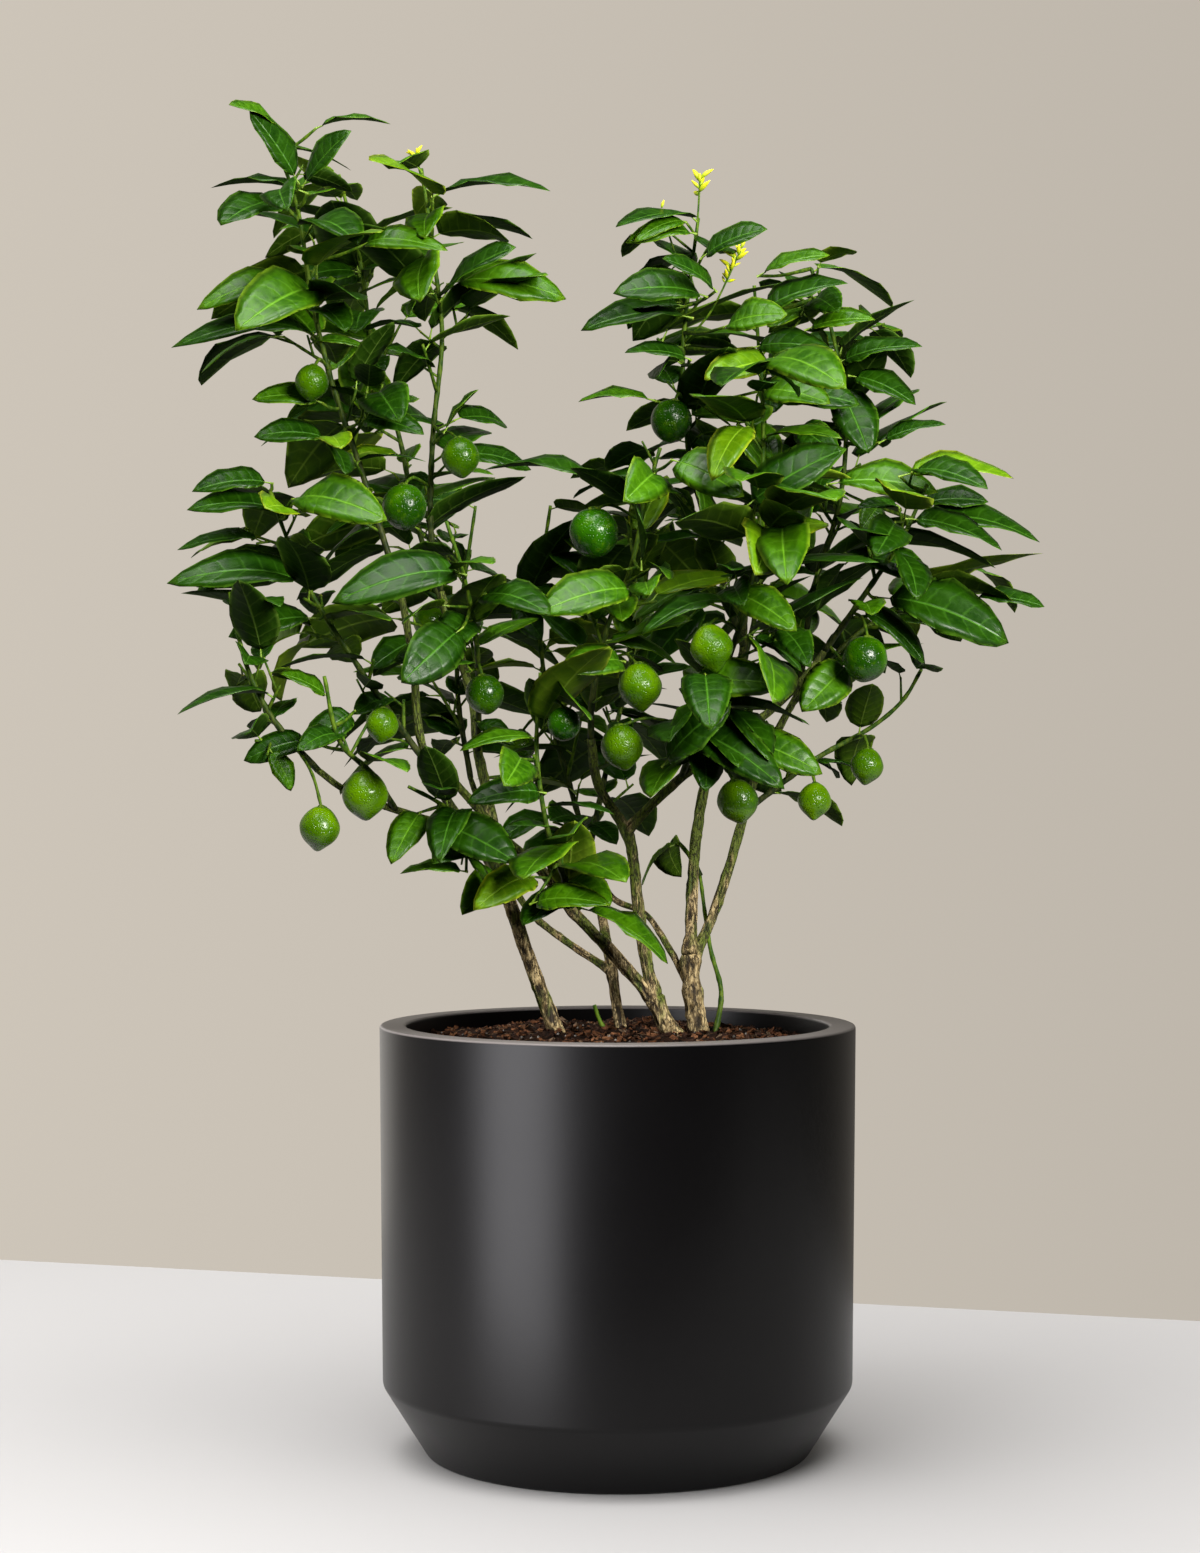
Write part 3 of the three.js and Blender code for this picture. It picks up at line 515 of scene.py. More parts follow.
class Crown:
    # Everything that a leaf keeps clear of, as arrays, and the masses that grow in it.
    def __init__(self, limbs):
        self.masses = []
        for mass in masses:
            root = limbs[mass["on"]]["path"].at(mass["at"])[0]
            path = Path([root, *mass["points"]])
            self.masses.append({**mass, "path": path, "leaves": [], "twigs": [], "twiglets": []})
        self.leaders = np.stack([mass["path"].points for mass in self.masses])
        self.limbPoints = np.concatenate([limb["path"].points for limb in limbs.values()])
        self.limbReach = np.concatenate([limb["sampleRadius"] for limb in limbs.values()]) + rooms["limb"]
        fruit = np.array([lime for mass in masses for lime in mass["limes"]], float)
        self.fruitPlaces, self.fruitReach = fruit[:, :3], fruit[:, 3] + rooms["fruit"]

    # Own space: nearer to its own leader than to any other, clear of limbs, limes, pot and soil.
    def hasRoom(self, points, index):
        near = distances(points, self.leaders.reshape(-1, 3))
        near = near.reshape(len(points), len(self.leaders), -1).min(2)
        own = near[:, index].copy()
        near[:, index] = np.inf
        if (near.min(1) < own + rooms["neighbour"]).any():
            return False
        for others, reach in ((self.limbPoints, self.limbReach), (self.fruitPlaces, self.fruitReach)):
            if (distances(points, others) < reach).any():
                return False
        overPot = np.hypot(points[:, 0], points[:, 1]) < pot["rimRadius"] + rooms["pot"]
        return not (overPot & (points[:, 2] < pot["height"] + rooms["pot"])).any()

    # Tries a leaf in a few turns about its twig, and keeps the first one that has room.
    def tryLeaf(self, index, random, place, angle, rise, size, room=rooms["leaf"], allowed=None):
        mass = self.masses[index]
        spin = random() * 2 - 1
        length = size * mass["size"] * mix(leafSize["shortest"], leafSize["longest"], random())
        arch = mix(*leafSize["arch"], random())
        fold = mix(*leafSize["fold"], random())
        point, along = place
        for go in range(attempts["all"]):
            reach = length * (1 if go < attempts["fullSize"] else attempts["shrink"])
            direction = leaving(along, angle + math.radians(attempts["turn"]) * go, rise)
            direction[2] *= leafHang["level"]
            direction /= np.linalg.norm(direction)
            leaf = shapeLeaf(point, direction, math.radians(leafHang["roll"]) * spin, reach, arch, fold)
            samples = leafSamples(leaf)
            if mass["leaves"] and (distances(samples, mass["samples"]) < room).any():
                continue
            if allowed is not None and not allowed(samples):
                continue
            if self.hasRoom(samples, index):
                mass["samples"] = np.concatenate([mass["samples"], samples]) if mass["leaves"] else samples
                mass["leaves"].append({**leaf, "samples": samples})
                return

    # Leaves and twigs of one mass, in the same order of draws as the solids.
    def growMass(self, index):
        mass = self.masses[index]
        path, gap, seed = mass["path"], mass["gap"], mass["seed"]
        random = Seeded(seed)
        twigGap = gap * sideTwigs["gaps"]
        for k in range(max(1, math.floor((path.length - sideTwigs["first"]) / twigGap))):
            share = (sideTwigs["first"] + (k + sideTwigs["loose"] * random()) * twigGap) / path.length
            point, along = path.at(min(share, sideTwigs["last"]))
            seedTurn = seed * sideTwigs["seedTurn"]
            angle = math.radians(goldenTurn * k + seedTurn + sideTwigs["turnSpread"] * random())
            rise = math.radians(sideTwigs["rise"] + sideTwigs["riseSpread"] * (random() - 0.5))
            length = mass["twig"] * mix(*sideTwigs["taper"], share) * mix(*sideTwigs["lengths"], random())
            twig = Path([point, point + leaving(along, angle, rise) * length], 1)
            turns = [math.radians(twigLeaves["turn"] * side + twigLeaves["turnSpread"] * (random() - 0.5))
                     for side in (1, -1)]
            if not self.hasRoom(np.array([twig.at(part)[0] for part in sideTwigs["tested"]]), index):
                continue
            mass["twigs"].append(twig)
            for part, turn in zip(twigLeaves["places"], turns):
                self.tryLeaf(index, random, twig.at(part), turn, math.radians(twigLeaves["rise"]),
                             twigLeaves["size"])
            self.tryLeaf(index, random, twig.at(twigEnd["place"]), math.radians(twigEnd["turn"]),
                         math.radians(twigEnd["rise"]), twigEnd["size"])
        for k in range(math.floor((path.length - leaderLeaves["first"]) / gap)):
            share = (leaderLeaves["first"] + (k + leaderLeaves["loose"] * random()) * gap) / path.length
            seedTurn = seed * leaderLeaves["seedTurn"]
            angle = math.radians(goldenTurn * k + seedTurn + leaderLeaves["turnSpread"] * random())
            self.tryLeaf(index, random, path.at(min(share, leaderLeaves["last"])), angle,
                         math.radians(leaderLeaves["rise"]), mix(*leaderLeaves["sizes"], share))
        self.tryLeaf(index, random, path.at(leaderEnd["place"]), math.radians(seed * leaderEnd["seedTurn"]),
                     math.radians(leaderEnd["rise"]), leaderEnd["size"])


# Finer growth that the solids leave out: short twiglets with small leaves, inside each mass's own box. The
# leaves of a twiglet are given by their place on it, turn and rise.
finer = {"spacing": 18, "loose": 0.5, "start": 0.6, "first": 0.12, "last": 0.97, "twiglet": [10, 26],
         "rise": 38, "riseSpread": 24, "tested": (0.6, 1), "leaves": [(0.98, 90, 70), (0.55, -90, 34)],
         "turnSpread": 60, "size": [0.6, 0.95], "room": 7, "slack": 3, "seed": 700}


def growFiner(crown, index):
    mass = crown.masses[index]
    random = Seeded(mass["seed"] + finer["seed"])
    low, high = (np.array(corner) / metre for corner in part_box("mass_" + mass["name"]))

    def inside(points):
        boxed = (points > low - finer["slack"]).all() and (points < high + finer["slack"]).all()
        return boxed and not isOpen(points) and not hidesLime(points)

    for carrier in [mass["path"]] + mass["twigs"]:
        for k in range(int(carrier.length / finer["spacing"])):
            share = (k + finer["start"] + finer["loose"] * random()) * finer["spacing"] / carrier.length
            point, along = carrier.at(max(min(finer["last"], share), finer["first"]))
            rise = math.radians(finer["rise"] + finer["riseSpread"] * (random() - 0.5))
            heading = leaving(along, math.radians(goldenTurn * k + 360 * random()), rise)
            twiglet = Path([point, point + heading * mix(*finer["twiglet"], random())], 1)
            if not crown.hasRoom(np.array([twiglet.at(part)[0] for part in finer["tested"]]), index):
                continue
            before = len(mass["leaves"])
            for part, turn, leafRise in finer["leaves"]:
                angle = math.radians(turn + finer["turnSpread"] * (random() - 0.5))
                crown.tryLeaf(index, random, twiglet.at(part), angle, math.radians(leafRise),
                              mix(*finer["size"], random()), finer["room"], inside)
            if len(mass["leaves"]) > before:
                mass["twiglets"].append(twiglet)


# Leaves that the photo shows plainly, by mass: base, tip, arch, how far the blade faces the front, and
# tint.
plainLeaves = {
    "left_outer_top": [
        [[-189, -62, 704], [-274, -74, 695], 0.85, 32, 0], [[-196, -58, 737], [-259, -72, 719], 0.6, 36, 1],
        [[-190, -48, 836], [-143, -52, 838], 0.45, 20, 1], [[-194, -50, 795], [-252, -62, 796], 0.4, 22, 0],
        [[-214, -42, 838], [-240, -72, 845], 0.4, 42, 1], [[-200, -46, 802], [-228, -66, 842], 0.15, 66, 0],
        [[-198, -46, 800], [-166, -66, 830], 0.2, 62, 0], [[-160, -60, 760], [-106, -78, 754], 0.8, 48, 1],
        [[-160, -62, 652], [-120, -84, 640], 0.5, 50, 0], [[-184, -56, 663], [-226, -66, 664], 0.5, 42, 1],
        [[-180, -60, 640], [-224, -72, 640], 0.45, 42, 0],
    ],
    "left_inner_top": [
        [[-108, -30, 742], [-34, -40, 731], 0.5, 42, 1], [[-112, -36, 730], [-64, -70, 757], 0.35, 40, 0],
        [[-118, -26, 798], [-44, -34, 800], 0.4, 18, 0], [[-110, -28, 648], [-88, -42, 673], 0.2, 40, 1],
    ],
    "left_outer_mid": [
        [[-193, -76, 548], [-274, -92, 548], 0.75, 34, 0], [[-203, -72, 592], [-264, -80, 594], 0.5, 28, 0],
        [[-200, -84, 600], [-140, -120, 584], 0.55, 40, 1], [[-214, -64, 612], [-262, -74, 606], 0.4, 36, 0],
        [[-212, -66, 560], [-258, -78, 545], 0.4, 36, 0], [[-186, -70, 528], [-238, -84, 516], 0.4, 38, 0],
    ],
    "left_low_front": [
        [[-160, -100, 470], [-188, -118, 446], 0.35, 50, 0],
        [[-176, -96, 478], [-204, -112, 492], 0.3, 44, 1], [[-186, -92, 452], [-226, -106, 440], 0.4, 44, 0],
    ],
    "left_low_mid": [
        [[-92, -90, 372], [-132, -98, 371], 0.25, 20, 1], [[-112, -92, 402], [-62, -112, 378], 0.4, 50, 0],
    ],
    "left_inner_mid": [
        [[-92, -106, 552], [-170, -128, 534], 0.72, 46, 0],
        [[-94, -112, 520], [-128, -146, 486], 0.3, 56, 0],
    ],
    "middle_front": [
        [[-12, -62, 612], [-82, -66, 620], 0.5, 22, 0], [[12, -96, 544], [-48, -120, 528], 0.45, 44, 1],
        [[14, -92, 556], [4, -112, 610], 0.2, 66, 0], [[4, -94, 500], [-34, -126, 492], 0.5, 48, 1],
        [[32, -104, 622], [74, -126, 598], 0.45, 55, 1],
    ],
    "middle_low": [
        [[-54, -84, 352], [-6, -100, 352], 0.55, 44, 1], [[-44, -104, 420], [-90, -122, 414], 0.5, 46, 0],
    ],
    "front_right": [
        [[74, -126, 590], [134, -138, 624], 0.28, 62, 0], [[66, -124, 540], [104, -150, 516], 0.5, 40, 1],
        [[40, -122, 484], [96, -136, 484], 0.4, 50, 1], [[26, -112, 436], [66, -136, 474], 0.25, 62, 0],
        [[72, -96, 452], [122, -110, 432], 0.45, 46, 1],
    ],
    "right_outer_mid": [
        [[158, -84, 540], [236, -96, 512], 0.42, 40, 0], [[172, -84, 614], [240, -92, 612], 0.42, 32, 2],
        [[142, -74, 500], [112, -98, 470], 0.3, 60, 1], [[150, -66, 566], [190, -88, 552], 0.4, 44, 0],
        [[176, -86, 588], [232, -98, 568], 0.4, 34, 0], [[130, -58, 612], [196, -72, 606], 0.35, 36, 1],
        [[184, -60, 598], [228, -70, 600], 0.35, 30, 0],
    ],
    "right_outer_top": [
        [[96, -40, 668], [150, -56, 662], 0.4, 44, 0], [[146, -30, 684], [186, -44, 664], 0.4, 40, 0],
        [[112, -44, 650], [136, -72, 628], 0.4, 54, 0], [[118, -34, 712], [160, -50, 716], 0.35, 40, 1],
        [[164, -40, 640], [204, -52, 650], 0.3, 36, 0], [[88, -40, 722], [142, -58, 737], 0.35, 46, 0],
        [[88, -34, 746], [132, -46, 757], 0.3, 30, 1], [[138, -24, 692], [190, -44, 700], 0.35, 40, 0],
    ],
    "right_left_top": [
        [[24, -30, 668], [-24, -40, 666], 0.35, 24, 1], [[52, -40, 756], [92, -62, 770], 0.35, 50, 0],
        [[62, -42, 735], [28, -66, 751], 0.35, 52, 0], [[66, -44, 712], [104, -70, 716], 0.4, 52, 1],
        [[84, -40, 700], [132, -62, 694], 0.4, 46, 0], [[98, -46, 690], [54, -74, 675], 0.4, 54, 2],
        [[88, -46, 672], [130, -74, 660], 0.45, 50, 1], [[56, -46, 731], [-2, -64, 730], 0.45, 42, 0],
        [[46, -42, 692], [5, -58, 694], 0.4, 40, 0], [[50, -18, 776], [6, -30, 768], 0.5, 36, 1],
        [[48, -20, 722], [-22, -34, 712], 0.45, 26, 0],
    ],
    "right_far": [
        [[228, 8, 546], [274, 2, 540], 0.25, 26, 0],
    ],
}
# Places that the photo shows open, as seen from the camera on the plane through the pot's axis: x, z,
# radius.
openings = [
    [-122, 348, 34], [-92, 698, 30], [-205, 700, 20], [-103, 828, 26], [182, 452, 30], [40, 428, 15],
    [95, 410, 18], [-264, 452, 30], [-18, 312, 40], [22, 345, 24], [-68, 572, 14], [-40, 660, 40],
    [-30, 720, 40], [-18, 790, 30], [200, 480, 20], [60, 340, 40], [-150, 330, 40], [120, 360, 50],
    [230, 420, 40], [-225, 380, 30], [-185, 866, 26], [-259, 863, 24], [-266, 834, 30], [263, 517, 18],
    [-275, 528, 20], [-265, 493, 18], [-184, 485, 24], [-243, 438, 24], [169, 415, 24], [82, 747, 16],
    [-76, 596, 20], [5, 699, 18],
]


# Leaf blades: a grid of rows along and columns across on each side. The blades of grown leaves nod down
# by some degrees and by a share of their rise, and those that point down arch less.
blade = {"rows": 9, "columns": 5, "petiole": 0.11, "thickness": 0.55, "petioleRadius": 0.75, "tipHalf": 0.2,
         "twist": 30, "wave": 0.03, "tipDrop": 0.5, "widths": [0.96, 1.18], "ragged": 0.04, "bulge": 0.09,
         "fold": 0.75, "nod": [0, 9], "nodShare": 0.5, "stiffen": 0.9, "leastArch": 0.35, "beyond": 0.45}
# How near to an opening's or a lime's middle a leaf may come, as a share of its radius.
clear = {"opening": 0.7, "lime": 1.2}


# Where points appear from the camera, on the plane through the pot's axis.
def seenPlaces(points):
    cameraX, cameraY, cameraZ = (value / metre for value in view["place"])
    nearness = -cameraY / (points[:, 1] - cameraY)
    return np.stack([cameraX + (points[:, 0] - cameraX) * nearness,
                     cameraZ + (points[:, 2] - cameraZ) * nearness], 1)


def isOpen(samples):
    seen = seenPlaces(samples)
    return any(np.hypot(seen[:, 0] - x, seen[:, 1] - z).min() < radius * clear["opening"]
               for x, z, radius in openings)


# A grown leaf's tested points once its blade nods.
def hungSamples(leaf):
    along = tested[:, :1]
    rise = leaf["direction"][2]
    nod = math.tan(math.radians(blade["nod"][1] / 2) + blade["nodShare"] * max(rise, 0))
    relief = leaf["arch"] * (1 - min(max(1 + blade["stiffen"] * min(rise, 0), blade["leastArch"]), 1))
    fall = nod * np.maximum(along - blade["petiole"], 0) - relief * along ** 2
    return leafSamples(leaf) - leaf["normal"] * leaf["length"] * fall


# A leaf hides a lime if it lies in front of one that hangs at the front, as seen from the camera.
def hidesLime(samples):
    seen = seenPlaces(samples)
    for place, radius in zip(crown.fruitPlaces, crown.fruitReach):
        near = np.hypot(*(seen - seenPlaces(place[None])[0]).T) < radius * clear["lime"]
        if place[1] < 0 and (near & (samples[:, 1] < place[1])).any():
            return True
    return False


# Drops the grown leaves that hang in an opening, by their middle line, or in front of a lime.
def clearView(crown):
    for mass in crown.masses:
        kept = []
        for leaf in mass["leaves"]:
            hung = hungSamples(leaf)
            if not leaf["grown"] or not (isOpen(hung[:4]) or hidesLime(hung)):
                kept.append(leaf)
        mass["leaves"] = kept
        mass["samples"] = np.concatenate([leaf["samples"] for leaf in kept])


# A twig is cut a share beyond the last place that it bears something, looked for at some of its places.
trim = {"places": np.linspace(0.2, 1, 17), "near": 3, "beyond": 0.06}


# Where a twig last bears one of some places, as a share of its length, or nothing if it bears none.
def lastBearing(twig, places):
    bears = distances(twig.spread(trim["places"]), places).min(1) < trim["near"]
    return trim["places"][np.nonzero(bears)[0][-1]] if bears.any() else None


# Drops the twigs and twiglets that bear nothing, and shortens straight twigs to what they bear.
def trimTwigs(crown):
    for mass in crown.masses:
        bases = np.array([leaf["base"] for leaf in mass["leaves"]])
        twiglets = [twig for twig in mass["twiglets"] if lastBearing(twig, bases) is not None]
        borne = np.concatenate([bases] + [twig.points[:1] for twig in twiglets])
        kept = []
        for twig in mass["twigs"]:
            last = lastBearing(twig, borne)
            if last is not None and len(twig.points) == 2:
                kept.append(Path([twig.points[0], twig.at(min(last + trim["beyond"], 1))[0]], 1))
            elif last is not None:
                kept.append(twig)
        mass["twigs"], mass["twiglets"] = kept, twiglets


# A plain leaf is a little longer than its chord, and grown leaves this near to it are left out. Its twig
# leaves the leader where it is nearest and sags on its way.
plain = {"longer": 1.02, "fold": 0.3, "clear": 6, "elbow": 0.55, "sag": -1.5, "pieces": 6}


# Grows one plain leaf on its own twig, and clears the leaves that it would cut through.
def placeLeaf(crown, name, base, tip, arch, facing, tint):
    mass = next(mass for mass in crown.masses if mass["name"] == name)
    base, tip = np.array(base, float), np.array(tip, float)
    chord = tip - base
    reach = np.linalg.norm(chord)
    up = np.array([0, 0, 1.0]) - chord * chord[2] / reach ** 2
    up /= np.linalg.norm(up)
    aside = np.cross(up, chord) / reach
    aside = aside * math.copysign(1, -aside[1])
    upward = turned(up, aside, math.radians(facing))
    bend = math.atan(arch)
    direction = chord / reach * math.cos(bend) + upward * math.sin(bend)
    normal = upward * math.cos(bend) - chord / reach * math.sin(bend)
    leaf = {"base": base, "direction": direction, "normal": normal, "across": np.cross(direction, normal),
            "length": reach / math.hypot(1, arch) * plain["longer"], "arch": arch, "fold": plain["fold"]}
    samples = leafSamples(leaf)
    for other in crown.masses:
        other["leaves"] = [kept for kept in other["leaves"]
                           if not kept["grown"] or distances(samples, kept["samples"]).min() > plain["clear"]]
    mass["leaves"].append({**leaf, "samples": samples, "grown": 0, "tint": tint})
    root = mass["path"].points[np.linalg.norm(mass["path"].points - base, axis=1).argmin()]
    elbow = mix(root, base, plain["elbow"]) + np.array([0, 0, plain["sag"]])
    mass["twigs"].append(Path([root, elbow, base + direction], plain["pieces"]))


def countLeaves(stage):
    print(stage + ":", sum(len(mass["leaves"]) for mass in crown.masses), "leaves")


limbs = growLimbs()
crown = Crown(limbs)
for index in range(len(masses)):
    crown.growMass(index)
countLeaves("grown as the solids")
for name, leaves in plainLeaves.items():
    for leaf in leaves:
        placeLeaf(crown, name, *leaf)
clearView(crown)
countLeaves("with plain leaves and openings")
for index in range(len(masses)):
    growFiner(crown, index)
clearView(crown)
trimTwigs(crown)
countLeaves("with finer growth")

tiles = {"columns": 4, "rows": 8, "margin": 0.05}
depth = [side[1] / metre for side in cadBox]


# Values of all leaves at once, with some more axes after the first.
def gathered(leaves, axes, *keys):
    for key in keys:
        values = np.array([leaf[key] for leaf in leaves])
        yield values.reshape(len(leaves), *[1] * axes, *values.shape[1:])


# All blades at once. Along u from 0 to 1 the middle line arches and its tip drops; the half width is the
# sine of pi times u to the 0.9, raised to a power that grows along the leaf, so that the base is round
# and the tip sharp; across v from -1 to 1 the halves fold up and the edges wave. The blade nods down
# from the end of its petiole. What lies in front of or behind the crown's known depth keeps a share.
def bladePoints(leaves, chance):
    count, rows, columns = len(leaves), blade["rows"], blade["columns"]
    even = np.linspace(0, 1, rows)
    u = (0.4 * even + 0.6 * (0.5 - 0.5 * np.cos(math.pi * even)))[None, :, None, None]
    v = np.linspace(-1, 1, columns)[None, None, :, None]
    base, direction, normal, across = gathered(leaves, 2, "base", "direction", "normal", "across")
    length, arch, fold, grown = gathered(leaves, 3, "length", "arch", "fold", "grown")
    s = blade["petiole"] + (1 - blade["petiole"]) * u
    drop = blade["tipDrop"] * chance.random((count, 1, 1, 1)) * np.maximum(s - 0.5, 0) ** 2
    rise = direction[..., 2:]
    nod = np.radians(chance.uniform(*blade["nod"], (count, 1, 1, 1)))
    nod = nod + blade["nodShare"] * np.maximum(rise, 0)
    drop = grown * (drop + np.tan(nod) * np.maximum(s - blade["petiole"], 0))
    arch = arch * np.clip(1 + grown * blade["stiffen"] * np.minimum(rise, 0), blade["leastArch"], 1)
    middle = base + length * (direction * s - normal * (arch * s ** 2 + drop))
    profile = np.sin(math.pi * u ** 0.9) ** (0.52 + 0.14 * u ** 3)
    wide = chance.uniform(*blade["widths"], (count, 1, 1, 1))
    ragged = 1 + blade["ragged"] * (chance.random((count, rows, columns, 1)) - 0.5) * (np.abs(v) > 0.9)
    half = length * leafSize["width"] / 2 * profile * wide * ragged + blade["tipHalf"]
    twist = math.radians(blade["twist"]) * (2 * chance.random((count, 1, 1, 1)) - 1) * (u - 0.25)
    side = across * np.cos(twist) + normal * np.sin(twist)
    lift = normal * np.cos(twist) - across * np.sin(twist)
    phase = chance.random((count, 1, 1, 1)) + 0.5 * (v > 0)
    waves = 1.2 + 1.3 * chance.random((count, 1, 1, 1))
    wave = blade["wave"] * length * v ** 2 * np.sin(2 * math.pi * (waves * u + phase)) * np.sin(math.pi * u)
    bulge = 4 * blade["bulge"] * np.abs(v) * (1 - np.abs(v))
    points = middle + side * half * v + lift * (half * (blade["fold"] * fold * np.abs(v) + bulge) + wave)
    past = np.maximum(points[..., 1] - depth[1], 0) + np.minimum(points[..., 1] - depth[0], 0)
    points[..., 1] -= (1 - blade["beyond"]) * past
    return points, lift


# The UV place of a leaf's point: along the tile's width and across its height.
def tilePlace(along, side, column, row):
    inside = 1 - 2 * tiles["margin"]
    return np.stack([(column + tiles["margin"] + inside * along) / tiles["columns"],
                     (row + tiles["margin"] + inside * side) / tiles["rows"]], -1)


# Blades as closed shells: the upper side, and an under side that shares its rim and lies a thickness
# below. Each side takes its kind's tile of the UV square, in one of a few columns for variety.
def bladeSurface(leaves, tints, chance):
    count, rows, columns = len(leaves), blade["rows"], blade["columns"]
    size = rows * columns
    points, lift = bladePoints(leaves, chance)
    column = chance.integers(0, tiles["columns"], count)
    inner = np.zeros((rows, columns), bool)
    inner[1:-1, 1:-1] = True
    gap = blade["thickness"] / 2 * lift * inner[None, :, :, None]
    grid = gridQuads(rows, columns)
    upper = repeated(grid, count, size)
    lower = repeated(grid[:, [0, 3, 2, 1]], count, size)
    under = underTiles + np.minimum(tints, 2)
    parts = np.meshgrid(np.linspace(0, 1, rows), np.linspace(0, 1, columns), indexing="ij")
    along, side = (np.tile(part.ravel(), count) for part in parts)
    places = [tilePlace(along, side, np.repeat(column, size), np.repeat(kind, size))
              for kind in (tints, under)]
    uv = np.concatenate([places[0][upper], places[1][lower]]).reshape(-1, 2)
    lower = lower + np.where(inner.ravel(), size * count, 0)[lower % size]
    return column, {
        "points": np.concatenate([points + gap, points - gap]).reshape(-1, 3),
        "quads": np.concatenate([upper, lower]), "uv": uv,
        "slots": np.concatenate([np.repeat(kind, len(grid)) for kind in (tints, under)]),
    }


# Petioles: short tubes of four sides from the twig to the blade, sunk into both.
petiole = {"places": np.array([-0.015, 0.03, 0.5, 1.25]), "radii": np.array([1.5, 1.15, 0.8, 0.55]),
           "bend": 0.2}


def petioleSurface(leaves, column):
    count, rings = len(leaves), len(petiole["places"])
    base, direction, normal, across = gathered(leaves, 1, "base", "direction", "normal", "across")
    length, arch = gathered(leaves, 2, "length", "arch")
    share = (petiole["places"] * blade["petiole"])[None, :, None]
    radius = (petiole["radii"] * blade["petioleRadius"])[None, :, None, None]
    fall = arch * share ** 2 + petiole["bend"] * share * blade["petiole"]
    centre = base + length * (direction * share - normal * fall)
    points = centre[:, :, None] + np.stack([across, normal, -across, -normal], 2) * radius
    ends = np.array([[0, 1, 2, 3], [-1, -2, -3, -4]]) % (4 * rings)
    quads = repeated(np.concatenate([gridQuads(rings, 4, True)[:, ::-1], ends]), count, 4 * rings)
    along = np.tile(np.repeat(np.linspace(0, 1, rings), 4), count)
    side = np.tile(np.linspace(0.2, 0.8, 4), rings * count)
    uv = tilePlace(along, side, np.repeat(column, 4 * rings), petioleTile)
    return {"points": points.reshape(-1, 3), "quads": quads, "uv": uv[quads].reshape(-1, 2),
            "slots": np.full(len(quads), petioleTile)}


def addLeaves(name, leaves, tints, chance, nodes):
    column, blades = bladeSurface(leaves, tints, chance)
    whole = joined([blades, petioleSurface(leaves, column)])
    used, quads = np.unique(whole["quads"], return_inverse=True)
    whole.update(points=whole["points"][used], quads=quads.reshape(-1, 4))
    addPiece(name, whole, leafMaterials, "leaf", nodes)


# Leaf finishes, by tile: the colours of blade, light patches, ribs and rim, then shine, gloss and quilting.
leafColours = {
    "darkTop": [(0.003, 0.021, 0.0003), (0.016, 0.064, 0.0005), (0.06, 0.19, 0.012), (0.10, 0.25, 0.012),
                0.2, 0.36, 1.0],
    "midTop": [(0.011, 0.053, 0.0003), (0.056, 0.166, 0.0005), (0.12, 0.30, 0.014), (0.24, 0.42, 0.014),
               0.25, 0.37, 0.9],
    "freshTop": [(0.042, 0.122, 0.0005), (0.125, 0.250, 0.001), (0.24, 0.44, 0.02), (0.46, 0.56, 0.02),
                 0.27, 0.40, 0.8],
    "youngTop": [(0.13, 0.25, 0.003), (0.27, 0.38, 0.005), (0.46, 0.58, 0.03), (0.66, 0.66, 0.03),
                 0.24, 0.42, 0.6],
    "darkUnder": [(0.007, 0.025, 0.001), (0.022, 0.056, 0.003), (0.12, 0.21, 0.03), (0.10, 0.19, 0.02),
                  0.04, 0.60, -0.8],
    "midUnder": [(0.020, 0.052, 0.002), (0.052, 0.106, 0.005), (0.18, 0.29, 0.035), (0.18, 0.29, 0.02),
                 0.04, 0.60, -0.8],
    "freshUnder": [(0.070, 0.140, 0.006), (0.145, 0.230, 0.012), (0.30, 0.42, 0.045), (0.36, 0.46, 0.03),
                   0.05, 0.60, -0.6],
}
underTiles = 4
petioleTile = len(leafColours)


